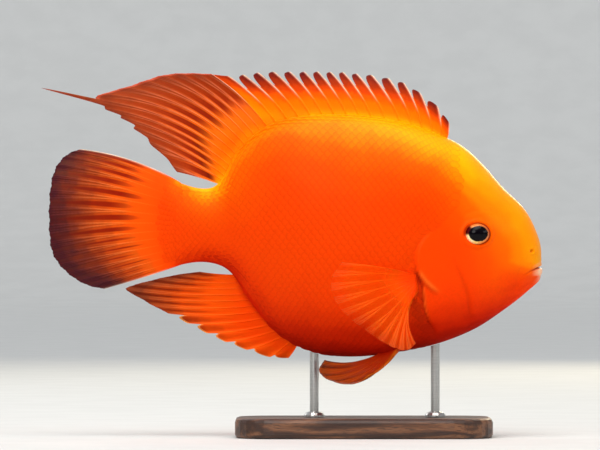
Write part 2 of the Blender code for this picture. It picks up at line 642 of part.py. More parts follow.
def pectoral_fin(name, way):
    """A breast fin, a cupped fan that stands out and back from the flank behind the gill cover."""
    tip_at = smooth_curve(PECTORAL_TIPS)
    columns, halves = [], []
    for place, reach, ridge in fin_places(len(PECTORAL_TIPS)):
        share = place / (len(PECTORAL_TIPS) - 1)
        root = bent_line(PECTORAL_ROOT, share)
        tip = root + (tip_at(place) - root) * reach
        start, flare = flank(*root) + GAP, between(PECTORAL_FLARE, share)
        bow = PECTORAL_BOW * (share - PECTORAL_STRAIGHT)
        column, half = [], []
        for j, (x, z) in enumerate(bowed(root, tip, bow, PECTORAL_ROWS)):
            v = j / PECTORAL_ROWS
            blade = start + flare * math.sin(math.pi / 2.0 * v) - PECTORAL_CUP * v * v
            column.append((x, way * max(blade, flank(x, z) + PECTORAL_CLEAR * min(1.0, 3.0 * v)), z))
            half.append(half_thickness(v, ridge, PECTORAL_FLESH))
        columns.append(column)
        halves.append(half)
    ways = facing(columns, Vector((0.0, way, 0.0)))
    for line in ways:
        line[0] = Vector((1.0, 0.0, 0.0))  # the root lies flat on the flank
    return fin_solid(name, columns, halves, ways)


def pelvic_fin(name, way):
    """A belly fin, swept back and out below the body."""
    tip_at = smooth_curve(PELVIC_TIPS)
    down = Vector((0.0, 0.0, -1.0))
    columns, halves = [], []
    for place, reach, ridge in fin_places(len(PELVIC_TIPS)):
        x, out = bent_line(PELVIC_ROOT, place / (len(PELVIC_TIPS) - 1))
        root = Vector((x, out, underside(x, out) - GAP))
        chord = Vector(tip_at(place)) - root
        column, half = [], []
        for j in range(PELVIC_ROWS + 1):
            v = j / PELVIC_ROWS * reach
            point = root + chord * v + down * chord.length * PELVIC_BOW * 4.0 * v * (1.0 - v)
            column.append((point.x, way * point.y, point.z))
            half.append(half_thickness(v, ridge, PELVIC_FLESH))
        columns.append(column)
        halves.append(half)
    ways = facing(columns, Vector((0.0, way, 0.0)))
    for line in ways:
        line[0] = Vector((0.0, way, 0.0))  # the root lies flat on the belly
    return fin_solid(name, columns, halves, ways)


def stand_base():
    """The stand's flat base, a board with round corners and a softened top edge."""
    outline = []
    half_long, half_wide = STAND_LENGTH / 2.0 - STAND_CORNER, STAND_WIDTH / 2.0 - STAND_CORNER
    for corner, (along, out) in enumerate(((1, 1), (-1, 1), (-1, -1), (1, -1))):
        for step in range(STAND_CORNER_STEPS + 1):
            angle = math.pi / 2.0 * (corner + step / STAND_CORNER_STEPS)
            outline.append((STAND_MIDDLE + along * half_long + STAND_CORNER * math.cos(angle),
                            out * half_wide + STAND_CORNER * math.sin(angle)))
    rings = [[(x, y, z) for x, y in outline] for z in (UNDERSIDE, UNDERSIDE + STAND_THICK)]
    base = new_object("stand_base", *lofted(rings))
    soften = base.modifiers.new("softened edge", "BEVEL")
    soften.width = STAND_BEVEL * MM
    soften.segments = 2
    soften.limit_method = "ANGLE"
    soften.angle_limit = math.radians(60.0)
    return base


def stand_rod(name, x):
    """A short rod with a turned foot, from the base up to the belly."""
    rings = []
    for radius, lift in ROD_FOOT + ((ROD_RADIUS, None),):
        ring = []
        for k in range(ROD_SIDES):
            angle = 2.0 * math.pi * k / ROD_SIDES
            px, py = x + radius * math.cos(angle), radius * math.sin(angle)
            if lift is None:
                level = underside(px, max(abs(py), RIDGE_HALF)) - GAP
            else:
                level = UNDERSIDE + STAND_THICK + GAP + lift
            ring.append((px, py, level))
        rings.append(ring)
    return new_object(name, *lofted(rings))


def finish(name, colour, roughness, metallic=0.0):
    """One plain material."""
    material = bpy.data.materials.new(name)
    material.use_nodes = True
    surface = material.node_tree.nodes["Principled BSDF"]
    surface.inputs["Base Color"].default_value = (*colour, 1.0)
    surface.inputs["Roughness"].default_value = roughness
    surface.inputs["Metallic"].default_value = metallic
    return material


def main():
    """The whole model, with its finishes."""
    for old in list(bpy.data.objects):
        bpy.data.objects.remove(old)
    parts = body_parts()
    eyes = make_eyes(parts["head"])
    covers = [gill_cover("gill_cover_right", -1.0), gill_cover("gill_cover_left", 1.0)]
    fins = dorsal_fins() + [anal_fin(), caudal_fin()]
    for side, way in (("right", -1.0), ("left", 1.0)):
        fins += [pectoral_fin("pectoral_fin_" + side, way), pelvic_fin("pelvic_fin_" + side, way)]
    stand = [stand_rod(name, x) for name, x in ROD_PLACES.items()]
    for objects, material in (
        (list(parts.values()) + covers, finish("scaled_skin", (0.95, 0.12, 0.01), 0.35)),
        (fins, finish("fin_membrane", (0.9, 0.13, 0.02), 0.4)),
        (eyes, finish("eye", (0.02, 0.01, 0.01), 0.08)),
        ([stand_base()], finish("dark_wood", (0.09, 0.045, 0.02), 0.45)),
        (stand, finish("brushed_steel", (0.6, 0.6, 0.6), 0.3, 1.0)),
    ):
        for obj in objects:
            obj.data.materials.clear()
            obj.data.materials.append(material)
            obj.data.shade_smooth()
            obj.data.set_sharp_from_angle(angle=math.radians(40.0))


main()
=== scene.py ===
# %% [markdown]
# # Dressing a still model of a blood parrot cichlid
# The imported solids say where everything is: the body in six parts, the fins, the eyes and a display stand.
# This lesson puts on them what makes a fish look alive: one skin without seams, a coat of scales, fins of
# thin skin between branching rays, and wet eyes. Lengths below are millimetres, in the drawing's own
# heights, until a mesh is made.

# %% Load the solids
import json
import math

import bpy
import numpy as np
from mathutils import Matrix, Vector

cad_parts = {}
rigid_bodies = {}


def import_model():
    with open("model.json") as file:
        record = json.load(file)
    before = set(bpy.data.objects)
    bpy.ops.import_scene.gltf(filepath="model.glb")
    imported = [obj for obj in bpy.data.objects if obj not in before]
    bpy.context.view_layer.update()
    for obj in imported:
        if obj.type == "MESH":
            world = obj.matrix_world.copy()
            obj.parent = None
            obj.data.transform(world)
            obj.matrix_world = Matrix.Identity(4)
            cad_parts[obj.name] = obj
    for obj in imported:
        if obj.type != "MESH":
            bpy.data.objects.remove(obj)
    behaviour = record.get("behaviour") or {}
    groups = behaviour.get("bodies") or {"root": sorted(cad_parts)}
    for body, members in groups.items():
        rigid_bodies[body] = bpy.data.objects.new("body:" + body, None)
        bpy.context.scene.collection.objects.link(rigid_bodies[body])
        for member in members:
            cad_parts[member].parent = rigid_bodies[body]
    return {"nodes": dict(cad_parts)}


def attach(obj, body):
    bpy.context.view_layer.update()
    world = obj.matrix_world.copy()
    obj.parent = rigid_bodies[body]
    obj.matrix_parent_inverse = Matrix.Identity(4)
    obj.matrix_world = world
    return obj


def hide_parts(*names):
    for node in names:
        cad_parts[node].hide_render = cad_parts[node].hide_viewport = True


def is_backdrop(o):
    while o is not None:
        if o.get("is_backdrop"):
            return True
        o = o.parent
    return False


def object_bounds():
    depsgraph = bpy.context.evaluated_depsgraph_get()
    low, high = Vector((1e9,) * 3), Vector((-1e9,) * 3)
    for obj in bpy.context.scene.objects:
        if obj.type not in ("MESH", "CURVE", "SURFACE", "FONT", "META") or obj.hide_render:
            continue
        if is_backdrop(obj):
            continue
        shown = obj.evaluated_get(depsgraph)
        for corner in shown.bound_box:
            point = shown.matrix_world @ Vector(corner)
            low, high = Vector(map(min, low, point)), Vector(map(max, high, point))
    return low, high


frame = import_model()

cad_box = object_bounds()
MM = 0.001
UNDERSIDE = 3.2  # the drawing's height of the stand's underside, which is 0 in the frame
print("nodes in the frame:", len(frame["nodes"]))


# %% [markdown]
# ## Helpers for colour and nodes
# Colours are written as a painter's hex values, which are sRGB. Blender's sockets are linear, so one
# function turns them. A second one adds a node with its settings and links in one line, so that a material
# reads as a list of what it is made of.

# %% Colour, node and material helpers
def paint(hex_colour):
    """A linear colour from an sRGB hex value."""
    parts = [int(hex_colour[i : i + 2], 16) / 255.0 for i in (0, 2, 4)]
    return (*[p / 12.92 if p <= 0.04045 else ((p + 0.055) / 1.055) ** 2.4 for p in parts], 1.0)


def plug(tree, made, links):
    """Joins each named input of a node to a socket or a node's first output in use, or gives it a value."""
    for socket, source in links.items():
        target = made.inputs[socket]
        if isinstance(source, bpy.types.Node):
            source = next(output for output in source.outputs if output.enabled)
        if isinstance(source, bpy.types.NodeSocket):
            tree.links.new(source, target)
        else:
            target.default_value = source


def node(tree, kind, links=None, stops=(), **settings):
    """Adds a node. Settings set the node itself, and stops are a ramp's places and hex colours."""
    made = tree.nodes.new(kind)
    for name, value in settings.items():
        setattr(made, name, value)
    if stops:
        made.color_ramp.interpolation = "EASE"
        for _ in stops[2:]:
            made.color_ramp.elements.new(0.5)
        for element, (place, colour) in zip(made.color_ramp.elements, stops):
            element.position = place
            element.color = paint(colour)
    plug(tree, made, links or {})
    return made


def new_material(name):
    """An empty surface to build on, and its shader."""
    material = bpy.data.materials.new(name)
    material.use_nodes = True
    tree = material.node_tree
    return material, tree, tree.nodes["Principled BSDF"]


# %% [markdown]
# ## The body's form
# A fish's body is drawn by its sections. Each row below gives a point on the back and one on the belly,
# seen from the side, then half the width there, and how full the section is. A smooth curve through the
# rows gives the form at any place, so the skin, the scales and the fins' roots can all ask the same
# function where the surface is. These are the numbers that the solids were drawn with.

# %% The sections, and a smooth curve through them
SECTIONS = (
    ((100.9, 75.3), (100.9, 69.4), 0.9, 0.0, 2.0, 2.0),
    ((100.9, 78.6), (100.2, 66.9), 3.7, 0.0, 2.1, 2.0),
    ((100.2, 82.6), (98.2, 64.8), 6.6, 0.0, 2.2, 2.0),
    ((98.0, 88.6), (94.0, 61.2), 9.6, 0.0, 2.3, 2.0),
    ((93.4, 96.4), (88.8, 57.0), 12.5, 0.0, 2.3, 2.0),
    ((86.3, 103.3), (82.4, 52.4), 15.2, 0.0, 2.3, 2.0),
    ((79.0, 111.6), (75.3, 47.8), 17.6, 0.0, 2.2, 2.1),
    ((70.5, 119.9), (66.4, 43.7), 19.8, 0.0, 2.1, 2.2),
    ((62.4, 124.3), (56.7, 40.5), 21.3, 0.0, 2.0, 2.3),
    ((49.8, 129.2), (45.0, 38.1), 22.2, 0.0, 1.9, 2.4),
    ((33.6, 132.6), (31.6, 36.2), 21.8, 0.02, 1.9, 2.4),
    ((17.4, 133.7), (18.6, 36.0), 20.2, 0.04, 1.9, 2.3),
    ((3.2, 132.8), (7.3, 38.1), 17.6, 0.06, 1.9, 2.1),
    ((-8.9, 129.4), (-3.2, 43.3), 14.2, 0.06, 1.9, 1.9),
    ((-17.8, 123.3), (-12.2, 51.8), 11.2, 0.04, 1.9, 1.8),
    ((-23.5, 116.6), (-18.6, 60.8), 9.0, 0.02, 1.9, 1.9),
    ((-27.5, 108.9), (-23.9, 68.9), 7.4, 0.0, 2.0, 2.0),
    ((-32.4, 104.3), (-30.0, 73.1), 6.2, 0.0, 2.0, 2.0),
    ((-39.3, 104.3), (-38.1, 74.1), 5.2, 0.0, 2.0, 2.0),
    ((-46.2, 106.5), (-46.2, 72.7), 4.0, 0.0, 2.1, 2.1),
)
RIDGE_HALF, RIDGE_SHARE = 1.5, 0.3  # half the width of the blunt edge along the back and the belly
EYE_PLACE, EYE_RADIUS, EYE_DEPTH, EYE_RIM = (74.6, 85.5), 5.4, 3.9, 4.8
EYE_FLAT = 0.86  # the eye's opening is a little lower than it is long
EYE_CORNER = math.radians(157.0)  # the way to the dark corner of the eye, which is above and behind
ORBIT_SWELL, ORBIT_REACH = 1.1, 9.0  # how far the flank swells round the eye, and over what distance


def smooth_curve(points):
    """A natural cubic spline that takes 0 at the first point, 1 at the next and so on, for many places."""
    values = np.array(points, float)
    if values.ndim == 1:
        values = values[:, None]
    count = len(values)
    system, right = np.eye(count), np.zeros_like(values)
    for i in range(1, count - 1):
        system[i, i - 1 : i + 2] = 1.0, 4.0, 1.0
        right[i] = 6.0 * (values[i + 1] - 2.0 * values[i] + values[i - 1])
    bends = np.linalg.solve(system, right)

    def at(place):
        place = np.asarray(place, float)
        i = np.clip(place.astype(int), 0, count - 2)
        after = (place - i)[..., None]
        before = 1.0 - after
        return (before * values[i] + after * values[i + 1]
                + ((before**3 - before) * bends[i] + (after**3 - after) * bends[i + 1]) / 6.0)

    return at


back_at = smooth_curve([row[0] for row in SECTIONS])
belly_at = smooth_curve([row[1] for row in SECTIONS])
form_at = smooth_curve([row[2:] for row in SECTIONS])
LAST = len(SECTIONS) - 1
print("sections from the mouth to the tail:", len(SECTIONS))


# %% The bare form at any place
def fade(start, end, value):
    """0 at start and 1 at end, with a soft beginning and end."""
    share = np.clip((value - start) / (end - start), 0.0, 1.0)
    return share * share * (3.0 - 2.0 * share)


def bell(value, middle, width):
    """1 in the middle, and less on both sides, as a bell is drawn."""
    return np.exp(-(((value - middle) / width) ** 2))


def side_view(place, height):
    """Where a point of a section is, seen from the side."""
    lift = np.asarray(height)[..., None]
    return (back_at(place) * (1.0 + lift) + belly_at(place) * (1.0 - lift)) / 2.0


def half_width(place, height):
    """Half the body's width in a section, at a height from -1 on the belly to 1 on the back."""
    widest, level, above, below = np.moveaxis(form_at(place), -1, 0)
    seam = np.minimum(RIDGE_HALF, RIDGE_SHARE * widest)
    turned = (height - level) / (1.0 - level * height)
    share = np.sqrt(np.clip(1.0 - np.abs(turned) ** np.where(turned > 0.0, above, below), 0.0, 1.0))
    x, z = np.moveaxis(side_view(place, height), -1, 0)
    orbit = bell(np.hypot(x - EYE_PLACE[0], z - EYE_PLACE[1]), 0.0, ORBIT_REACH)
    return seam + (widest - seam) * share + ORBIT_SWELL * orbit * share


def bare_side(place, turn):
    """The right flank without folds. Turn runs from 0 on the back to pi on the belly."""
    height = np.cos(turn)
    x, z = np.moveaxis(side_view(place, height), -1, 0)
    return np.stack((x, -half_width(place, height), z), -1)


def section_of(x, z):
    """The section that points seen from the side lie in, and their height there."""
    x, z = np.broadcast_arrays(np.asarray(x, float), np.asarray(z, float))
    low, high = np.zeros(x.shape), np.full(x.shape, float(LAST))
    point = np.stack((x, z), -1)
    for _ in range(40):
        place = (low + high) / 2.0
        across, toward = back_at(place) - belly_at(place), point - belly_at(place)
        behind = across[..., 0] * toward[..., 1] - across[..., 1] * toward[..., 0] > 0.0
        low, high = np.where(behind, place, low), np.where(behind, high, place)
    height = 2.0 * (toward * across).sum(-1) / (across * across).sum(-1) - 1.0
    return place, np.clip(height, -1.0, 1.0)


def flank(x, z):
    """How far the bare skin is from the middle plane at points seen from the side."""
    return half_width(*section_of(x, z))


print("half width at the eye: %.1f mm" % flank(*EYE_PLACE))


# %% [markdown]
# ## Folds and features of the skin
# On the animal the skin is stretched over bone plates, and their edges show: the free edge of the gill
# cover, a groove in front of it where the cheek bone ends, the fold behind the jaws, lips, nostrils and the
# rim of the eye. Each is drawn as a line seen from the side, and the skin rises or sinks with the distance
# from it. This beats sculpting by hand here, because the numbers can be checked against the photograph.

# %% Distance from a line, and the lines of the head
def beside(x, z, line, points=48):
    """The distance from a smooth line seen from the side, positive on its left, and the place along it."""
    curve = smooth_curve(line)(np.linspace(0.0, len(line) - 1.0, points))
    best, along = np.full(np.shape(x), 1e9), np.zeros(np.shape(x))
    side = np.ones(np.shape(x))
    for i in range(points - 1):
        (ax, az), (dx, dz) = curve[i], curve[i + 1] - curve[i]
        share = np.clip(((x - ax) * dx + (z - az) * dz) / (dx * dx + dz * dz), 0.0, 1.0)
        away = np.hypot(x - ax - share * dx, z - az - share * dz)
        near = away < best
        best = np.where(near, away, best)
        side = np.where(near, np.sign(dx * (z - az) - dz * (x - ax)), side)
        along = np.where(near, (i + share) / (points - 1), along)
    return best * side, along


LINES = {
    "gill_edge": ((62.0, 87.6), (58.2, 87.0), (54.0, 84.6), (51.0, 80.6), (49.7, 76.6), (49.9, 72.4),
                  (51.2, 68.6), (52.6, 65.0), (53.0, 61.0), (53.4, 56.4), (54.8, 51.6), (57.6, 46.8),
                  (61.4, 42.6)),
    "cheek": ((64.4, 79.6), (65.2, 75.6), (67.2, 70.9), (69.7, 64.4), (71.3, 58.7), (71.8, 53.6),
              (74.6, 49.8)),
    "jaw": ((95.4, 75.6), (93.0, 71.8), (91.3, 67.4), (89.8, 62.6), (87.4, 57.0)),
    "chin": ((92.6, 66.4), (89.6, 63.6), (85.0, 61.8), (80.0, 61.0)),
    "brow": ((84.2, 92.6), (80.6, 94.6), (75.6, 95.3), (70.4, 93.6), (67.0, 90.0)),
    "cover": ((50.6, 71.4), (52.0, 68.0), (54.4, 65.4), (57.4, 62.8), (60.6, 61.2)),
    "lip_edge": ((101.1, 70.4), (100.7, 67.6), (98.7, 65.2), (95.4, 62.6)),
    "fin_seat": ((48.6, 70.4), (48.9, 66.0), (49.2, 61.6)),  # where the breast fin grows from the flank
}
# For each fold: where along its line it starts, is full, wanes and ends, and then its swells and furrows,
# each with a height, a distance from the line and a width.
FOLDS = {
    "cheek": ((0.08, 0.45, 0.8, 1.0), ((-0.34, 0.0, 0.75), (0.22, 1.9, 1.5))),
    "jaw": ((0.0, 0.2, 0.75, 1.0), ((-0.12, 0.0, 1.4), (0.14, 2.6, 1.8))),
    "chin": ((0.0, 0.25, 0.6, 1.0), ((-0.2, 0.0, 1.0),)),
    "brow": ((0.0, 0.3, 0.7, 1.0), ((-0.25, 0.0, 1.0),)),
    "cover": ((0.0, 0.2, 0.6, 1.0), ((0.2, 0.6, 0.8), (-0.4, -0.7, 0.6))),
}
NOSTRIL = (97.0, 78.6)
MOUTH = ((101.9, 72.3), (99.6, 71.7), (96.6, 70.6), (94.2, 69.2), (92.3, 67.2))
MOUTH_FRONT, MOUTH_CORNER = 101.0, 92.3


def mouth_height(x):
    """The height of the line of the mouth at a place along the fish."""
    line = np.array(sorted(MOUTH))
    return np.interp(x, line[:, 0], line[:, 1])


print("lines of the head, with the mouth's:", len(LINES) + 1)


# %% The rise and fall of the skin
def lips(x, z):
    """The two lips and the slit between them."""
    front = np.clip((x - MOUTH_CORNER) / (MOUTH_FRONT - MOUTH_CORNER), 0.0, 1.0)
    above = z - mouth_height(x)
    upper, lower = 0.7 + 0.5 * front, 0.7 + front
    round_upper = np.sqrt(np.clip(1.0 - ((above - upper) / upper) ** 2, 0.0, 1.0))
    round_lower = np.sqrt(np.clip(1.0 - ((above + lower) / lower) ** 2, 0.0, 1.0))
    on_mouth = fade(MOUTH_CORNER - 0.6, MOUTH_CORNER + 1.6, x)
    swell = np.where(above > 0.0, (0.05 + 0.15 * front) * round_upper, (0.05 + 0.5 * front**3) * round_lower)
    slit = (0.15 + 1.1 * front**2) * bell(above, 0.0, 0.2 + 0.2 * front)
    return on_mouth * (swell - slit), on_mouth * np.where(above > 0.0, 0.35 * round_upper, round_lower)


def cover_step(x, z):
    """The gill cover stands proud of the flank, and its free edge casts a line."""
    inside, along = beside(x, z, LINES["gill_edge"])
    near = fade(0.02, 0.4, along) * fade(1.0, 0.86, along) * fade(26.0, 4.0, np.abs(inside))
    step = np.where(inside > 0.0, fade(0.0, 0.9, inside) * np.exp(-inside / 9.0),
                    -0.75 * np.exp(inside / 2.2) * fade(0.0, -0.35, inside))
    return near * step, inside, near


def relief(x, z):
    """How far the skin stands out from the bare form, in millimetres, and how much painted shade and how much
    pale paint or painted highlight it gets.
    """
    from_eye = x - EYE_PLACE[0], z - EYE_PLACE[1]
    eye = np.hypot(from_eye[0], from_eye[1] / EYE_FLAT)
    pit = np.hypot(x - NOSTRIL[0], z - NOSTRIL[1])
    mouth, lip_share = lips(x, z)
    cover, inside, near_cover = cover_step(x, z)
    seat, _ = beside(x, z, LINES["fin_seat"])
    rise = 0.5 * bell(eye, 6.0, 0.8) - 2.6 * fade(5.3, 3.4, eye) + mouth + cover + 0.8 * bell(seat, 0.0, 2.0)
    rise = rise + 0.18 * bell(pit, 1.15, 0.4) - 0.9 * bell(pit, 0.0, 0.62)
    rise = rise + 0.12 * np.sin(x / 7.1 + 0.6 * np.sin(z / 9.0)) * np.sin(z / 8.3 + 1.0)
    away, share = {}, {}
    for name, ((start, full, wane, end), waves) in FOLDS.items():
        away[name], along = beside(x, z, LINES[name])
        share[name] = fade(start, full, along) * fade(end, wane, along)
        rise = rise + share[name] * sum(height * bell(away[name], at, width) for height, at, width in waves)
    # Painted shade: the shadow behind the gill cover, and the shade in three furrows, the nostril's pit and
    # the mouth's gap. The eye's upper hind corner is also darker.
    behind = near_cover * fade(0.4, -0.3, inside) * fade(-6.0, -1.0, inside) * fade(84.0, 70.0, z)
    toward = from_eye[0] * math.cos(EYE_CORNER) + from_eye[1] * math.sin(EYE_CORNER)
    corner = fade(0.72, 0.96, toward / np.maximum(eye, 0.1)) * bell(eye, 5.35, 0.5)
    gap = fade(94.5, 100.5, x) * bell(z, mouth_height(x), 0.42)
    dark = (0.75 * behind * fade(84.0, 62.0, z) + 0.22 * share["cheek"] * bell(away["cheek"], 0.0, 0.8)
            + 0.1 * share["chin"] * bell(away["chin"], 0.0, 1.8) + 0.28 * fade(0.9, 0.45, pit) + 0.75 * corner
            + 0.45 * share["cover"] * bell(away["cover"], -0.8, 0.8) + 0.9 * gap)
    # Pale: the lips, partly their own colour and partly a painted highlight along their outline, and painted
    # highlights on the gill cover's free edge and fold.
    edge, along = beside(x, z, LINES["lip_edge"])
    lip_outline_highlight = 0.75 * fade(2.3, 0.0, np.abs(edge)) * fade(0.8, 0.15, along)
    pale = ((0.8 * lip_share * fade(96.4, 100.0, x) + lip_outline_highlight) * (1.0 - gap)
            + 0.3 * near_cover * bell(inside, 0.35, 0.4) * fade(66.0, 62.0, z) * fade(49.0, 57.0, z)
            + 0.5 * share["cover"] * bell(away["cover"], 0.6, 0.7))
    return rise, np.clip(dark, 0.0, 1.0), np.clip(pale, 0.0, 1.0)


def ways(side, place, turn, step):
    """The ways to the tail and out of the body on the right flank. Side gives its points."""
    along = side(np.clip(place + step, 0.0, LAST), turn) - side(np.clip(place - step, 0.0, LAST), turn)
    out = np.cross(side(place, turn + step) - side(place, turn - step), along)
    out /= np.maximum(np.linalg.norm(out, axis=-1, keepdims=True), 1e-12)
    return along, out * np.where(out[..., 1:2] > 0.0, -1.0, 1.0)


def skin_side(place, turn):
    """The right flank with its folds."""
    bare = bare_side(place, turn)
    _, out = ways(bare_side, place, turn, 0.004)
    rise, dark, pale = relief(bare[..., 0], bare[..., 2])
    seam = np.sin(np.clip(turn, 0.0, math.pi)) ** 0.5
    return bare + out * (rise * seam)[..., None], dark, pale


# %% [markdown]
# ## One skin from the snout to the tail
# The solids are parted by thin gaps so that each can be a body of its own. The living skin has no such
# gaps, so one closed mesh takes the place of all six. It is a net of sections, wound closer at the head,
# where the detail is. Each point also carries what the paint needs: its distance from the back and from the
# belly, and how much painted shade and how much pale paint or painted highlight its place on the head gets.

# %% The net of the skin
SKIN_STATIONS, SKIN_RING = 300, 158  # sections from end to end, and points down one side


def to_mesh(name, points, faces, attributes=()):
    """A smooth mesh object from the drawing's millimetres, with named numbers or vectors on its points."""
    mesh = bpy.data.meshes.new(name)
    placed = (np.asarray(points, float).reshape(-1, 3) - (0.0, 0.0, UNDERSIDE)) * MM
    mesh.from_pydata(placed.tolist(), [], faces)
    for label, values in attributes:
        values = np.asarray(values, np.float32).ravel()
        kind, slot = ("FLOAT", "value") if len(values) == len(placed) else ("FLOAT_VECTOR", "vector")
        mesh.attributes.new(label, kind, "POINT").data.foreach_set(slot, values)
    mesh.polygons.foreach_set("use_smooth", [True] * len(mesh.polygons))
    mesh.validate()
    mesh.update()
    made = bpy.data.objects.new(name, mesh)
    bpy.context.scene.collection.objects.link(made)
    return made


def paint_depths(x, z):
    """How deep points seen from the side lie in the yellow of the back and above the dark red of the belly.

    Both are millimetres from the outline, stretched where the colour is narrow or starts late."""
    places = np.linspace(0.0, LAST, 14)
    from_back, _ = beside(x, z, [tuple(p) for p in back_at(places)], 60)
    from_belly, _ = beside(x, z, [tuple(p) for p in belly_at(places)], 60)
    back = (np.abs(from_back) * np.interp(x, (-30.0, -20.0, 10.0, 30.0, 54.0, 72.0, 84.0, 94.0),
                                          (2.0, 1.3, 1.1, 1.0, 1.55, 1.55, 1.2, 1.0))
            + np.interp(x, (-54.0, -46.0, -39.0, -34.0, -30.0, -24.0, -6.0, 14.0, 34.0, 54.0, 72.0, 84.0,
                            94.0), (20.0, 9.0, 3.0, 0.0, 1.0, 9.0, 9.0, 2.5, 0.0, -7.0, -7.0, -2.0, 0.0)))
    belly = (np.abs(from_belly) * np.interp(x, (-30.0, -10.0, 8.0, 40.0, 64.0, 84.0),
                                            (2.8, 2.0, 1.0, 1.0, 1.3, 2.4))
             + np.interp(x, (-52.0, -44.0, -36.0, -28.0, -16.0, 4.0, 72.0, 80.0, 88.0, 94.0, 98.0),
                         (24.0, 9.0, 4.0, 4.0, 7.0, 0.0, 0.0, 3.0, 11.0, 20.0, 28.0)))
    # The yellow of the face ends at the mouth.
    return back + 25.0 * fade(75.0, 65.0, z) * fade(80.0, 92.0, x), belly


def both_sides(values):
    """Values of the right side for the whole ring, down the right side and up the left."""
    return np.concatenate((values, values[:, ::-1]), axis=1)


stations = np.linspace(0.0, 1.0, SKIN_STATIONS)
stations = LAST * (0.72 * stations + 0.28 * stations**2)
net_place, net_turn = np.meshgrid(stations, np.linspace(0.0, math.pi, SKIN_RING), indexing="ij")
right_side, net_dark, net_pale = skin_side(net_place, net_turn)
net_back, net_belly = paint_depths(right_side[..., 0], right_side[..., 2])
net = both_sides(right_side)
net[:, SKIN_RING:, 1] *= -1.0  # the left side
print("the skin's net:", net.shape[0], "sections of", net.shape[1], "points")


# %% Close the skin and give it its unwrap
ring = net.shape[1]
wide, tall, cap = 0.96 / SKIN_STATIONS, 1.0 / (ring + 1), 1.0 / SKIN_RING  # the sizes of a face on the unwrap
faces, unwrap = [], []
for s in range(SKIN_STATIONS - 1):
    for r in range(ring):
        a, b = s * ring + r, s * ring + (r + 1) % ring
        faces.append((a, a + ring, b + ring, b))
        u, v = 0.02 + wide * s, (r + 0.5) * tall
        unwrap += [u, v, u + wide, v, u + wide, v + tall, u, v + tall]
for start, flip, u in ((0, False, 0.002), ((SKIN_STATIONS - 1) * ring, True, 0.99)):
    for r in range(SKIN_RING - 1):
        quad = [start + r, start + r + 1, start + ring - 2 - r, start + ring - 1 - r]
        faces.append(tuple(quad[::-1] if flip else quad))
        corners = [(u, r * cap), (u, (r + 1) * cap), (u + 0.008, (r + 1) * cap), (u + 0.008, r * cap)]
        unwrap += [value for corner in (corners[::-1] if flip else corners) for value in corner]
carried = {"from_back": net_back, "from_belly": net_belly, "dark_fold": net_dark, "pale_edge": net_pale}
skin = to_mesh("skin", net, faces, [(label, both_sides(values)) for label, values in carried.items()])
skin.data.uv_layers.new(name="OFBake").data.foreach_set("uv", unwrap)
print("the skin has", len(skin.data.polygons), "faces")
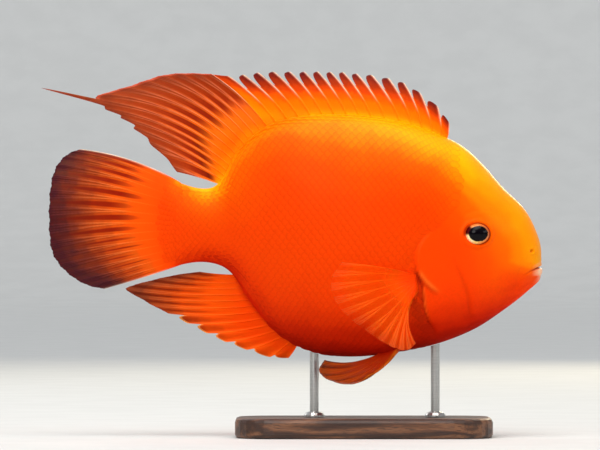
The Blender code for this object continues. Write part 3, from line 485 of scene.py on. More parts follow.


# %% [markdown]
# ## Paint for skin and scales
# The colour of this fish lies in cells under clear skin: yellow ones along the back, the nape and the face,
# red ones that grow denser towards the belly. The bright yellow of the back and the dark red of the belly are
# partly the cells' own colour and partly painted light from above and painted shade underneath. So the paint
# runs with the distance from the back and from the belly, not with the height alone, and the same paint is
# used on skin and scales, so that they read as one. A little light goes into skin and comes out again nearby,
# which subsurface scattering gives, and its wet surface gives a soft shine.

# %% The paint of the body
def body_paint(tree):
    """The body's colour from the values its points carry, and where the specks lie."""
    back, belly, dark, pale = [node(tree, "ShaderNodeAttribute", attribute_name=label).outputs["Fac"]
                               for label in ("from_back", "from_belly", "dark_fold", "pale_edge")]
    place = node(tree, "ShaderNodeTexCoord").outputs["Object"]
    # Pigment cells lie in clouds some 6 mm wide and in specks under 1 mm.
    clouds = node(tree, "ShaderNodeTexNoise", {"Vector": place, "Scale": 90.0, "Detail": 3.0})
    specks = node(tree, "ShaderNodeTexNoise", {"Vector": place, "Scale": 1100.0, "Detail": 2.0})
    drift = node(tree, "ShaderNodeMath", {0: clouds, 1: 9.0, 2: -4.5}, operation="MULTIPLY_ADD")
    shades = []
    # The back runs to bright yellow and the belly to dark red: partly the cells' colour, partly painted light
    # from above and painted shade below.
    for depth, reach, stops in (
        (back, 40.0, ((0.0, "ffb000"), (0.1, "ff9e00"), (0.22, "ff8000"), (0.42, "ff5a00"),
                      (0.7, "ff4800"), (1.0, "ff4000"))),
        (belly, 34.0, ((0.0, "a00a00"), (0.08, "b21000"), (0.24, "d01e00"), (0.42, "e22800"),
                       (0.64, "f43400"), (1.0, "ff4000"))),
    ):
        depth = node(tree, "ShaderNodeMath", {0: depth, 1: drift}, operation="ADD")
        depth = node(tree, "ShaderNodeMath", {0: depth, 1: reach}, operation="DIVIDE")
        shades.append(node(tree, "ShaderNodeValToRGB", {"Fac": depth}, stops))
    share = node(tree, "ShaderNodeMapRange", {"Value": depth, "From Min": 0.25, "From Max": 1.0})
    body = node(tree, "ShaderNodeMix", {0: share, 6: shades[1], 7: shades[0]}, data_type="RGBA")
    axes = node(tree, "ShaderNodeSeparateXYZ", {"Vector": place}).outputs
    # In front of the cheek's groove the red gives way to orange, and that to yellow towards the snout, though
    # less so on the chin.
    high = node(tree, "ShaderNodeMapRange", {"Value": axes["Z"], "From Min": 0.064, "From Max": 0.083})
    high = node(tree, "ShaderNodeMath", {0: high, 1: share}, operation="MULTIPLY")
    for start, end, amount, shade in ((0.0675, 0.0755, 0.3, "ff6a00"), (0.0805, 0.104, 0.72, "ff8a00")):
        face = node(tree, "ShaderNodeMapRange", {"Value": axes["X"], "From Min": start, "From Max": end})
        for factor in (high, amount):
            face = node(tree, "ShaderNodeMath", {0: face, 1: factor}, operation="MULTIPLY")
        body = node(tree, "ShaderNodeMix", {0: face, 6: body, 7: paint(shade)}, data_type="RGBA")
    fleck = node(tree, "ShaderNodeMapRange", {"Value": specks, "From Min": 0.3, "From Max": 0.7,
                                              "To Min": 0.96, "To Max": 1.04})
    body = node(tree, "ShaderNodeVectorMath", {0: body, "Scale": fleck}, operation="SCALE")
    # Pale on the lips, partly their own colour and partly painted highlight, and a light orange painted
    # highlight on the gill cover's edges.
    lip = node(tree, "ShaderNodeMapRange", {"Value": axes["X"], "From Min": 0.085, "From Max": 0.095})
    thin = node(tree, "ShaderNodeMix", {0: lip, 6: paint("ff8428"), 7: paint("ffc4a0")}, data_type="RGBA")
    # Painted shade in furrows, pits and behind the gill cover, then pale lips and painted highlights, over
    # the body's colour.
    for amount, shade in ((dark, paint("9a0a00")), (pale, thin)):
        body = node(tree, "ShaderNodeMix", {0: amount, 6: body, 7: shade}, data_type="RGBA")
    return body, place, specks


def wet_finish(name, strength, height, rim_shade=None):
    """The body's paint under a wet surface with a fine grain, and with a shaded rim where it is on scales."""
    material, tree, surface = new_material(name)
    colour, _, specks = body_paint(tree)
    if rim_shade:
        rim = node(tree, "ShaderNodeAttribute", attribute_name="rim").outputs["Fac"]
        rim = node(tree, "ShaderNodeMapRange", {"Value": rim, "From Min": 0.3, "To Max": 0.55})
        colour = node(tree, "ShaderNodeMix", {0: rim, 6: colour, 7: paint(rim_shade)}, data_type="RGBA",
                      blend_type="MULTIPLY")
    # The slime is thinner and duller where the skin faces down.
    facing = node(tree, "ShaderNodeNewGeometry").outputs["Normal"]
    facing = node(tree, "ShaderNodeSeparateXYZ", {"Vector": facing}).outputs["Z"]
    dull = node(tree, "ShaderNodeMapRange", {"Value": facing, "From Min": -0.7, "From Max": 0.1,
                                             "To Min": 0.9, "To Max": 0.36})
    grain = node(tree, "ShaderNodeBump", {"Height": specks, "Strength": strength, "Distance": height})
    plug(tree, surface, {
        "Base Color": colour, "Normal": grain, "Roughness": dull, "IOR": 1.4,
        "Subsurface Weight": 0.18, "Subsurface Radius": (1.0, 0.35, 0.1), "Subsurface Scale": 0.0025,
        "Specular IOR Level": 0.27, "Specular Tint": paint("ffb060")})
    return material


# Wet fish skin: slime over clear skin gives a low IOR near water and a satin gloss. A layer of crystals under
# the slime sends back warm light, so the shine is tinted and does not turn the orange to pink.
skin.data.materials.append(wet_finish("wet_fish_skin", strength=0.25, height=0.00006))
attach(skin, "root")
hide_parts("head", "lower_jaw", "gill_cover_right", "gill_cover_left", "torso", "tail_stalk")
print("paint of the body:", len(skin.data.materials[0].node_tree.nodes), "nodes")


# %% [markdown]
# ## The eyes
# A fish's eye is a ball with a wide black pupil, which bulges through a thin golden ring. The clear cornea
# over it is wet. One turned shape gives the ball: its profile is drawn once and spun round the eye's axis.
# The rings of colour are painted by the distance from that axis, kept as an attribute, and a clear coat
# gives the wet shine.

# %% Turn the eyeballs
EYE_ROUND, EYE_RINGS = 64, 40
HIDDEN = 6.0  # a distance from the axis past every ring, for the back of the eyeball
PUPIL_AHEAD, PUPIL_UP, PUPIL_FLAT = 0.4, 0.1, 0.95  # the pupil lies in front of the eye's middle
eye_out = float(flank(*EYE_PLACE)) - EYE_DEPTH * math.sqrt(1.0 - (EYE_RIM / EYE_RADIUS) ** 2)


def eyeball(name, way):
    """One eyeball, from the front of its cornea to its hidden back. Way is -1 on the right side."""
    tilt, angle = np.meshgrid(math.pi * np.arange(1, EYE_RINGS) / EYE_RINGS,
                              2.0 * math.pi * np.arange(EYE_ROUND) / EYE_ROUND, indexing="ij")
    radius, deep = EYE_RADIUS * np.sin(tilt), EYE_DEPTH * np.cos(tilt)
    in_front = deep > 0.0
    groove = 0.12 * bell(radius, 4.35, 0.35) - 0.1 * fade(4.1, 3.7, radius) * (radius > 3.0)
    deep = deep + np.where(in_front, groove, 0.0)
    across, up = radius * np.cos(angle), radius * np.sin(angle)
    points = np.stack((EYE_PLACE[0] + across, way * (eye_out + deep), EYE_PLACE[1] + EYE_FLAT * up), -1)
    poles = [(EYE_PLACE[0], way * (eye_out + end * EYE_DEPTH), EYE_PLACE[1]) for end in (1.0, -1.0)]
    points = np.concatenate((points.reshape(-1, 3), poles))
    away = np.append(np.where(in_front, radius, HIDDEN), (0.0, HIDDEN))
    pupil = np.hypot(across - PUPIL_AHEAD, (up - PUPIL_UP) / PUPIL_FLAT)
    pupil = np.append(np.where(in_front, pupil, HIDDEN), (PUPIL_AHEAD, HIDDEN))
    angle = np.append(angle, (0.0, 0.0))
    last = (EYE_RINGS - 2) * EYE_ROUND
    pairs = [(k, (k + 1) % EYE_ROUND) for k in range(EYE_ROUND)]
    faces = [(start + a, start + b, start + EYE_ROUND + b, start + EYE_ROUND + a)
             for start in range(0, last, EYE_ROUND) for a, b in pairs]
    faces += [(len(points) - 2, b, a) for a, b in pairs]
    faces += [(last + a, last + b, len(points) - 1) for a, b in pairs]
    faces = [face if way > 0.0 else face[::-1] for face in faces]
    # The ring shines most behind and below the pupil, and a dark bar crosses it behind and above.
    glow = 0.5 + 0.5 * np.cos(angle - math.radians(215.0))
    bar = fade(math.radians(36.0), math.radians(20.0), np.abs(angle - EYE_CORNER))
    carried = {"from_axis": away, "from_pupil": pupil, "glow": glow, "bar": bar}
    return to_mesh(name, points, faces, carried.items())


eyes = {"eye_right": eyeball("eye_ball_right", -1.0), "eye_left": eyeball("eye_ball_left", 1.0)}
print("the eyeball's front stands %.1f mm from the middle plane" % (eye_out + EYE_DEPTH))


# %% Paint the eyes
# Cornea over iris: the clear front has the IOR of water and tears, and the ring's gold is a layer of crystals
# in the iris, so it stays smooth and not metallic.
wet_eye, tree, surface = new_material("wet_fish_eye")
away, pupil, glow, bar = [node(tree, "ShaderNodeAttribute", attribute_name=label).outputs["Fac"]
                          for label in ("from_axis", "from_pupil", "glow", "bar")]
place = node(tree, "ShaderNodeTexCoord").outputs["Object"]
fibres = node(tree, "ShaderNodeTexNoise", {"Vector": place, "Scale": 1500.0, "Detail": 3.0})
wander = node(tree, "ShaderNodeMath", {0: fibres, 1: 0.5, 2: -0.25}, operation="MULTIPLY_ADD")
glow = node(tree, "ShaderNodeMath", {0: glow, 1: wander}, operation="ADD")
gold = node(tree, "ShaderNodeValToRGB", {"Fac": glow}, (
    (0.0, "b05c2c"), (0.3, "e88c54"), (0.62, "f4a458"), (0.86, "ffd87c"), (1.0, "fff4b8")))
# The ring's outer part is orange, but for its brightest stretch.
fringe = node(tree, "ShaderNodeMapRange", {"Value": pupil, "From Min": 4.15, "From Max": 4.5})
plain = node(tree, "ShaderNodeMapRange", {"Value": glow, "From Min": 0.5, "From Max": 0.9,
                                          "To Min": 0.85, "To Max": 0.1})
fringe = node(tree, "ShaderNodeMath", {0: fringe, 1: plain}, operation="MULTIPLY")
for amount, shade in ((fringe, "e8701c"), (bar, "4c060c")):
    gold = node(tree, "ShaderNodeMix", {0: amount, 6: gold, 7: paint(shade)}, data_type="RGBA")
spread = node(tree, "ShaderNodeMath", {0: pupil, 1: wander}, operation="ADD")
inside = node(tree, "ShaderNodeMapRange", {"Value": spread, "From Min": 3.72, "From Max": 4.0},
              interpolation_type="SMOOTHSTEP")
rings = node(tree, "ShaderNodeMix", {0: inside, 6: paint("050106"), 7: gold}, data_type="RGBA")
outside = node(tree, "ShaderNodeMapRange", {"Value": away, "From Min": 4.62, "From Max": 4.95},
               interpolation_type="SMOOTHSTEP")
rings = node(tree, "ShaderNodeMix", {0: outside, 6: rings, 7: paint("8c1e08")}, data_type="RGBA")
plug(tree, surface, {"Base Color": rings, "Roughness": 0.1, "IOR": 1.36, "Specular IOR Level": 0.15,
                     "Coat Weight": 0.12, "Coat IOR": 1.36, "Coat Roughness": 0.03})
for cad_name, ball in eyes.items():
    ball.data.materials.append(wet_eye)
    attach(ball, "root")
    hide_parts(cad_name)
print("eyes painted:", len(eyes))


# %% [markdown]
# ## Fins
# A fin is a fan of bony rays with a thin skin between them. Hard spines are single and pointed, and the
# skin hangs between them in notched flags. Soft rays are jointed and branch twice on their way to the edge.
# Each fin is one closed sheet: the rays are ridges on both faces, the skin between them waves a little, and
# the root is thick with flesh and sinks into the body. The sheet carries how far out a point is, how much
# of a ray it lies on, and where across the fin it is, which the paint then uses.

# %% The profile of rays across a fin
MEMBRANE = 0.13  # half thickness of the skin between rays, thinner than the solids can be
SCALLOP = 0.007  # how deep the edge dips between two soft rays, as a share of their length


def spine_reach(across):
    """The free edge behind a spine: a rounded flag, and a narrow notch before the next spine."""
    return np.interp(across, (0.0, 0.1, 0.3, 0.5, 0.64, 0.75, 0.83, 0.89, 0.93, 0.965, 1.0),
                     (1.0, 1.0, 0.985, 0.955, 0.905, 0.84, 0.765, 0.69, 0.7, 0.96, 1.0))


def soft_reach(across, deep=SCALLOP):
    """The edge between two soft rays, with a small scallop for each branch."""
    return 1.0 - deep * np.sin(math.pi * across) ** 2 - 0.004 * np.abs(np.sin(3.0 * math.pi * across))


def ridge_of(across, out, hard, width=0.055):
    """How much of a ray there is at a place between two rays and a share of the way out."""
    to_ray = np.minimum(across, 1.0 - across)
    if hard:
        return bell(to_ray, 0.0, width * (1.25 - 0.6 * out))
    first, second = 0.15 * fade(0.3, 0.85, out), 0.075 * fade(0.55, 1.0, out)
    slim = width * (1.1 - 0.5 * out)
    return np.maximum(bell(to_ray, first - second, slim), bell(to_ray, first + second, slim))


def bundle_of(across, out, hard, gap=0.25, start=0.3, rise=0.3, taper=0.4):
    """1 where the branches of one ray lie close together, and 0 in the wedge of bare skin between two rays.

    The wedge opens over the share called rise, and then closes again by the share called taper."""
    to_ray = np.minimum(across, 1.0 - across)
    if hard:
        return fade(0.22, 0.07, to_ray)
    wedge = gap * fade(start, start + rise, out) * (1.0 - taper * fade(start + rise, 1.0, out))
    bare = fade(start, start + 1.6 * rise, out)  # the dark skin comes in slowly, without a hard point
    return 1.0 - bare * fade(0.5 - wedge, 0.6 - wedge, to_ray)


def thickness(out, ridge, root, edge, ray_share=1.0):
    """Half the thickness of a fin, with rays that get thinner from the root to the edge."""
    return MEMBRANE + ray_share * (np.interp(out, (0.0, 1.0), (root, edge)) - MEMBRANE) * ridge


def flesh(out, thick, reach):
    """The flesh round the roots of the rays, which thins out smoothly."""
    return thick * np.clip(1.0 - out / reach, 0.0, 1.0) ** 2


def pleat(out, across, deep, start, full):
    """The slight wave of the skin between two rays."""
    return deep * fade(start, full, out) * np.sin(2.0 * math.pi * across)


print("skin between rays: %.2f mm thick" % (2.0 * MEMBRANE))


# %% The net of a fin, and its closed sheet
SPINE_COLUMNS = (0.0, 0.03, 0.08, 0.16, 0.24, 0.32, 0.4, 0.48, 0.56, 0.64, 0.7, 0.75, 0.79, 0.83, 0.86, 0.89,
                 0.91, 0.93, 0.965, 0.985)


def columns(rays, between, hard=0):
    """The columns of a fin's net: their places counted in rays, the space each is in, and how far across."""
    places = [space + share for space in range(min(hard, rays - 1)) for share in SPINE_COLUMNS]
    places = np.append(places, np.linspace(hard, rays - 1.0, (rays - 1 - hard) * between + 1))
    space = np.clip(places.astype(int), 0, rays - 2)
    return places, space, (places - space)[:, None]


def side_bow(root, tip, bow):
    """The way that columns bow out, seen from the side: square to them, by a share of their length."""
    chord = tip - root
    return np.stack((-chord[:, 1], chord[:, 0]), 1) * bow[:, None]


def fan(root, tip, reach, rows, bow):
    """The points of a fin's columns from its roots to its edge, and how far out each is."""
    out = reach * np.linspace(0.0, 1.0, rows)
    line = root[:, None] + (tip - root)[:, None] * out[..., None]
    return line + bow[:, None] * (4.0 * out * (1.0 - out))[..., None], out


def outward(made):
    """True if a closed mesh's faces point out, from the sign of the volume they enclose."""
    mesh = made.data
    mesh.calc_loop_triangles()
    at = np.empty(len(mesh.vertices) * 3)
    mesh.vertices.foreach_get("co", at)
    tris = np.empty(len(mesh.loop_triangles) * 3, int)
    mesh.loop_triangles.foreach_get("vertices", tris)
    a, b, c = np.moveaxis(at.reshape(-1, 3)[tris.reshape(-1, 3)], 1, 0)
    return float((a * np.cross(b, c)).sum()) > 0.0


def fin_sheet(name, centre, half, ray, bundle, out, spread, rim_light, clear=0.0, normal=(0.0, 1.0, 0.0)):
    """A closed fin from a net of middle points, half thicknesses and the way across it."""
    wide, tall = ray.shape
    swell = np.asarray(normal) * half[..., None]
    points = np.concatenate(((centre + swell).reshape(-1, 3), (centre - swell).reshape(-1, 3)))
    count = wide * tall
    faces = []
    for i in range(wide - 1):
        for j in range(tall - 1):
            a, b = i * tall + j, (i + 1) * tall + j
            faces += [(a, b, b + 1, a + 1), (a + count, a + 1 + count, b + 1 + count, b + count)]
    rim = [i * tall for i in range(wide)] + [(wide - 1) * tall + j for j in range(1, tall)]
    rim += [i * tall + tall - 1 for i in range(wide - 2, -1, -1)] + list(range(tall - 2, 0, -1))
    for k, a in enumerate(rim):
        b = rim[(k + 1) % len(rim)]
        faces.append((b, a, a + count, b + count))
    from_back, from_belly = paint_depths(centre[..., 0], centre[..., 2])
    carried = {"out": out, "ray": ray, "bundle": bundle, "spread": spread, "rim_light": rim_light,
               "from_back": from_back, "from_belly": from_belly, "clear": clear}
    made = to_mesh(name, points, faces, [(label, np.tile(np.broadcast_to(values, ray.shape).ravel(), 2))
                                         for label, values in carried.items()])
    if not outward(made):
        made.data.flip_normals()
    print("%-18s %6d faces" % (name, len(faces)))
    return made


# %% [markdown]
# ## Fins along the back and the belly
# The dorsal and the anal fin stand in the middle plane on a row of bones. The lists give where each ray
# stands along the outline and where its tip is. Between them the net is filled in by smooth curves. One ray
# of the dorsal fin is drawn out into a long thread.

# %% The rays of the dorsal and the anal fin
DORSAL_ROOTS = (63.0, 60.6, 57.2, 53.4, 49.4, 44.6, 38.6, 33.0, 28.0, 22.8, 17.8, 13.0, 8.2, 3.2, -1.4, -6.0,
                -9.8)
DORSAL_TIPS = ((63.8, 130.2), (59.1, 137.0), (52.0, 142.6), (45.5, 146.6), (39.3, 148.5), (32.5, 149.9),
               (26.4, 150.4), (20.9, 151.0), (15.8, 151.1), (10.6, 151.25), (5.1, 151.2), (-0.7, 151.2),
               (-7.2, 151.2), (-13.6, 150.8), (-19.6, 150.0), (-25.6, 149.4), (-32.8, 150.3))
SOFT_ROOTS = (-9.8, -12.6, -15.2, -17.4, -19.4, -21.2, -22.8, -24.2, -25.4, -26.4, -27.4, -28.4, -29.6)
SOFT_TIPS = ((-32.8, 150.3), (-40.1, 150.6), (-47.2, 150.5), (-54.3, 149.4), (-61.6, 147.0), (-70.0, 144.3),
             (-78.8, 141.6), (-79.7, 139.0), (-75.6, 135.9), (-69.3, 132.4), (-64.0, 128.0), (-57.0, 121.4),
             (-46.6, 110.6))
THREAD_RAY, THREAD_TIP = 7, (-101.6, 144.6)
ANAL_ROOTS = (2.0, -0.8, -3.6, -6.4, -8.9, -11.3, -13.5, -15.3, -17.0, -18.5, -19.9, -21.2, -22.3, -23.4)
ANAL_TIPS = ((-1.4, 35.2), (-9.2, 35.6), (-18.6, 38.6), (-27.0, 41.8), (-34.8, 45.4), (-42.5, 49.4),
             (-50.2, 53.3), (-57.5, 57.0), (-63.4, 60.4), (-67.4, 63.4), (-60.8, 65.8), (-53.5, 67.6),
             (-45.4, 69.2), (-37.3, 70.2))
ROOT_SUNK = 1.2  # how far the rays' roots start inside the body


def guide_point(guide, x):
    """The point of the back's or the belly's outline at x, and the way out of the body there."""
    low, high = np.ones(np.shape(x)), np.full(np.shape(x), float(LAST))
    for _ in range(40):
        place = (low + high) / 2.0
        ahead = guide(place)[..., 0] > x
        low, high = np.where(ahead, place, low), np.where(ahead, high, place)
    along = guide(place + 0.01) - guide(place - 0.01)
    out = np.stack((along[..., 1], -along[..., 0]), -1) / np.linalg.norm(along, axis=-1, keepdims=True)
    return guide(place), out if guide is back_at else -out


print("rays along the back:", len(DORSAL_ROOTS) + len(SOFT_ROOTS) - 1)


# %% Make the fins along the outline
def outline_fin(name, guide, roots, tips, bows, sway, hard, between, rows, thick, gap, starts, thread=False,
                notch=1.0):
    """A fin that stands on the back's or the belly's outline.

    Hard is the number of spines in front. The net has so many columns between two soft rays, and so many rows
    from root to edge. Bows and starts say how much the rays bow and where they branch, from front to rear.
    Sway gives how far the fin leans to the left, over what length it swings, and where the swing begins."""
    places, space, across = columns(len(roots), between, hard)
    spread = (places / (len(roots) - 1.0))[:, None]
    root, out_way = guide_point(guide, smooth_curve(roots)(places)[:, 0])
    root, tip = root - ROOT_SUNK * out_way, smooth_curve(tips)(places)
    space, is_hard = space[:, None], space[:, None] < hard
    # The skin behind the last spine of the back goes on without a notch, and the last soft rays end singly.
    notched = np.where(space == len(roots) - 2, 0.04, notch)
    single = np.interp(spread, (0.55, 0.75), (SCALLOP, 0.06 if thread else SCALLOP))
    reach = np.where(is_hard, 1.0 - notched * (1.0 - spine_reach(across)), soft_reach(across, single))
    bow = np.interp(spread[:, 0], np.linspace(0.0, 1.0, len(bows)), bows)
    line, travel = fan(root, tip, reach, rows, side_bow(root, tip, bow))
    out = np.linspace(0.0, 1.0, rows)
    if thread:
        pull = np.array(THREAD_TIP) - smooth_curve(tips)(THREAD_RAY)
        near = bell(places, THREAD_RAY, 0.2)[:, None] * fade(0.8, 1.0, out) ** 1.5
        line = line + near[..., None] * pull
    ridge = np.where(is_hard, ridge_of(across, travel, True, 0.06), ridge_of(across, travel, False))
    start = np.interp(spread, np.linspace(0.0, 1.0, len(starts)), starts) + 0.03 * np.sin(2.7 * space)
    bundle = np.where(is_hard, bundle_of(across, travel, True),
                      bundle_of(across, travel, False, gap, start, rise=0.14, taper=0.55))
    half = thickness(travel, ridge, thick, 0.2) + flesh(travel, 1.3, 0.4)
    half = half * np.where(out > 0.985, 0.6, 1.0)
    lean, swing, begin = sway
    y = lean * travel**2 * np.sin(line[..., 0] / swing + begin) + pleat(travel, across, 0.28, 0.1, 0.7)
    centre = np.stack((line[..., 0], y, line[..., 1]), -1)
    # Light catches the front of each spine, the tips of the anal fin's flags, and the soft part's free edge.
    if notch < 1.0:
        rim_light = np.where(is_hard, 0.7 * fade(0.955, 0.985, out), 0.0)
    elif hard:
        rim_light = (bell(across, 1.0, 0.035) + bell(across, 0.0, 0.075)) * fade(0.35, 0.7, travel)
    else:
        rim_light = fade(0.965, 0.985, out) * fade(0.62, 0.5, spread)
    return fin_sheet(name, centre, half, ridge, bundle, travel, spread, rim_light)


BACK_SWAY = (2.2, 17.0, 0.0)
fin_spiny = outline_fin("fin_dorsal_spiny", back_at, DORSAL_ROOTS, DORSAL_TIPS, bows=(-0.05, -0.05),
                        sway=BACK_SWAY, hard=16, between=16, rows=48, thick=0.85, gap=0.25, starts=(0.3, 0.3))
fin_soft = outline_fin("fin_dorsal_soft", back_at, SOFT_ROOTS, SOFT_TIPS,
                       bows=(-0.05, -0.08, -0.1, -0.06, -0.02), sway=BACK_SWAY, hard=0, between=28, rows=64,
                       thick=0.6, gap=0.34, starts=(0.36, 0.2, 0.13, 0.09, 0.06), thread=True)
fin_anal = outline_fin("fin_anal", belly_at, ANAL_ROOTS, ANAL_TIPS, bows=(0.04, 0.02), sway=(1.6, 12.0, 1.0),
                       hard=6, between=24, rows=48, thick=0.65, gap=0.2, starts=(0.35, 0.3), notch=0.5)


# %% [markdown]
# ## The tail fin
# The tail fin fans out from the flat end of the tail stalk. Its fleshy root goes on from the stalk without
# a step, so its thickness starts as the stalk's and thins out over half of the rays' length.

# %% Make the tail fin
CAUDAL_RAYS = 15
CAUDAL_TIPS = ((-85.9, 119.9), (-90.6, 118.2), (-94.6, 114.6), (-97.2, 109.0), (-98.4, 101.0), (-98.7, 92.0),
               (-98.4, 83.0), (-96.9, 76.6), (-93.4, 71.6), (-88.4, 67.4), (-82.4, 64.4), (-76.1, 63.2))


def tail_fin():
    """The tail fin, and the net of its right face for its scales."""
    places, space, across = columns(CAUDAL_RAYS, 28)
    share = places / (CAUDAL_RAYS - 1.0)
    spread = share[:, None]
    (end, top), (_, low) = SECTIONS[-1][:2]
    height = 0.985 * (1.0 - 2.0 * share)
    root = np.stack((np.full(share.shape, end + 1.2), low + (top - low) * (1.0 + height) / 2.0), 1)
    tip = smooth_curve(CAUDAL_TIPS)(share * (len(CAUDAL_TIPS) - 1.0))
    line, travel = fan(root, tip, soft_reach(across), 68, side_bow(root, tip, -0.055 + 0.065 * share))
    ridge = ridge_of(across, travel, False)
    stalk = half_width(np.full(height.shape, LAST - 0.15), height) + 0.05
    half = np.maximum(thickness(travel, ridge, 0.7, 0.18),
                      stalk[:, None] * np.clip(1.0 - travel / 0.5, 0.0, 1.0) ** 1.5)
    y = (2.4 * np.sin(line[..., 1] / 9.0) + 2.0) * travel**2 + pleat(travel, across, 0.3, 0.3, 0.9)
    centre = np.stack((line[..., 0], y, line[..., 1]), -1)
    gap = np.interp(spread, (0.0, 0.5, 0.62, 1.0), (0.27, 0.27, 0.15, 0.09))
    start = (0.24 + 0.05 * np.sin(2.7 * space))[:, None]
    bundle = bundle_of(across, travel, False, gap, start, rise=0.18, taper=0.6)
    upper_edge = bell(spread, 0.0, 0.012) * fade(0.0, 0.2, travel) + 0.4 * bell(spread, 1.0, 0.01)
    made = fin_sheet("fin_tail", centre, half, ridge, bundle, travel, spread, np.clip(upper_edge, 0.0, 1.0))
    return made, centre - (0.0, 1.0, 0.0) * half[..., None]


fin_tail, tail_flank = tail_fin()


# %% [markdown]
# ## Paired fins
# The breast fins stand out from the flank just behind the gill cover, as cupped fans. The belly fins are
# swept back below the body. Their nets are made as the others are, but bend in space, so the way across
# them comes from the net itself.

# %% Make the breast fins
PECTORAL_ROOT = ((49.3, 69.2), (49.7, 62.6))
PECTORAL_TIPS = ((19.8, 74.3), (16.4, 69.6), (15.4, 64.2), (17.2, 58.7), (20.8, 53.9), (25.4, 49.8),
                 (30.6, 46.0), (35.4, 42.7), (39.9, 40.3), (43.9, 38.9), (47.2, 39.3), (49.6, 41.6))


def ways_across(centre, way):
    """The way across a bent net at each point, on the side that faces away from the body."""
    normal = np.cross(np.gradient(centre, axis=0), np.gradient(centre, axis=1))
    normal /= np.maximum(np.linalg.norm(normal, axis=-1, keepdims=True), 1e-9)
    return normal * np.where((normal[..., 1] * way) < 0.0, -1.0, 1.0)[..., None]


def breast_fin(name, way):
    """A breast fin as one closed sheet. Way is -1 on the right side."""
    rays = len(PECTORAL_TIPS)
    places, _, across = columns(rays, 20)
    share = places / (rays - 1.0)
    spread = share[:, None]
    root = PECTORAL_ROOT[0] + np.subtract(*PECTORAL_ROOT[::-1]) * spread
    tip = smooth_curve(PECTORAL_TIPS)(places)
    bow = np.interp(share, (0.0, 0.6, 0.85, 1.0), (-0.025, 0.03, -0.06, -0.15))
    line, travel = fan(root, tip, soft_reach(across), 48, side_bow(root, tip, bow))
    # The blade leaves the flank in a curve and stays clear of it.
    leave = flank(root[:, 0], root[:, 1])[:, None]
    blade = leave - 0.4 + (12.0 + 4.5 * spread) * np.sin(math.pi / 2.0 * travel) - 3.0 * travel**2
    least = flank(line[..., 0], line[..., 1]) + 1.6 * np.minimum(1.0, 3.0 * travel) - 0.4
    low_part = fade(0.5, 0.8, spread)  # its lower rays stand apart, the upper ones lie in one smooth web
    y = way * (np.maximum(blade, least) + pleat(travel, across, 0.08 + 0.2 * low_part, 0.2, 0.8))
    centre = np.stack((line[..., 0], y, line[..., 1]), -1)
    ridge = ridge_of(across, travel, False)
    half = thickness(travel, ridge, 0.5, 0.16, 0.45 + 0.55 * low_part) + flesh(travel, 1.0, 0.4)
    gap = np.interp(spread, (0.0, 0.6, 0.8, 1.0), (0.06, 0.08, 0.2, 0.22))
    clear = fade(0.12, 0.45, travel) * (0.8 - 0.3 * ridge) * (1.0 - 0.35 * low_part)
    clear = clear + 0.17 * fade(0.7, 1.0, travel) * (1.0 - low_part)
    lit = ridge * fade(0.55, 0.9, spread) * fade(0.3, 0.7, travel)
    return fin_sheet(name, centre, half, ridge, bundle_of(across, travel, False, gap), travel, spread, lit,
                     clear, ways_across(centre, way))


fin_breast_right, fin_breast_left = breast_fin("fin_breast_right", -1.0), breast_fin("fin_breast_left", 1.0)


# %% Make the belly fins
PELVIC_ROOT = ((43.6, 6.2), (37.4, 4.2))
PELVIC_TIPS = ((30.9, 15.0, 28.6), (25.5, 15.6, 25.3), (19.2, 15.4, 25.3), (13.6, 14.6, 27.3),
               (10.9, 13.4, 30.4), (13.2, 12.2, 34.2))


def underside(x, out):
    """The height of the belly's skin at places along the fish and out from its middle."""
    middle, _ = guide_point(belly_at, x)
    place, _ = section_of(x, middle[..., 1])
    low, high = np.full(np.shape(x), -1.0), np.zeros(np.shape(x))
    for _ in range(30):
        height = (low + high) / 2.0
        narrow = half_width(place, height) < out
        low, high = np.where(narrow, height, low), np.where(narrow, high, height)
    return side_view(place, height)[..., 1]


def belly_fin(name, way):
    """A belly fin as one closed sheet. Way is -1 on the right side."""
    rays = len(PELVIC_TIPS)
    places, _, across = columns(rays, 22)
    spread = (places / (rays - 1.0))[:, None]
    root = PELVIC_ROOT[0] + np.subtract(*PELVIC_ROOT[::-1]) * spread
    root = np.column_stack((root, underside(root[:, 0], root[:, 1]) + 0.8))
    tip = smooth_curve(PELVIC_TIPS)(places)
    sag = -0.10 * np.linalg.norm(tip - root, axis=1)[:, None] * (0.0, 0.0, 1.0)
    centre, travel = fan(root, tip, soft_reach(across), 40, sag)
    centre[..., 1] -= pleat(travel, across, 0.3, 0.2, 0.8)
    centre = centre * (1.0, way, 1.0)
    ridge = ridge_of(across, travel, False, 0.05)
    half = np.maximum(thickness(travel, ridge, 0.6, 0.18), 1.2 * (1.0 - travel / 0.3))
    return fin_sheet(name, centre, half, ridge, bundle_of(across, travel, False, 0.15), travel, spread,
                     0.8 * bell(spread, 0.0, 0.14), fade(0.1, 0.5, travel) * 0.3 * (1.0 - ridge),
                     ways_across(centre, way))


fin_belly_right, fin_belly_left = belly_fin("fin_belly_right", -1.0), belly_fin("fin_belly_left", 1.0)
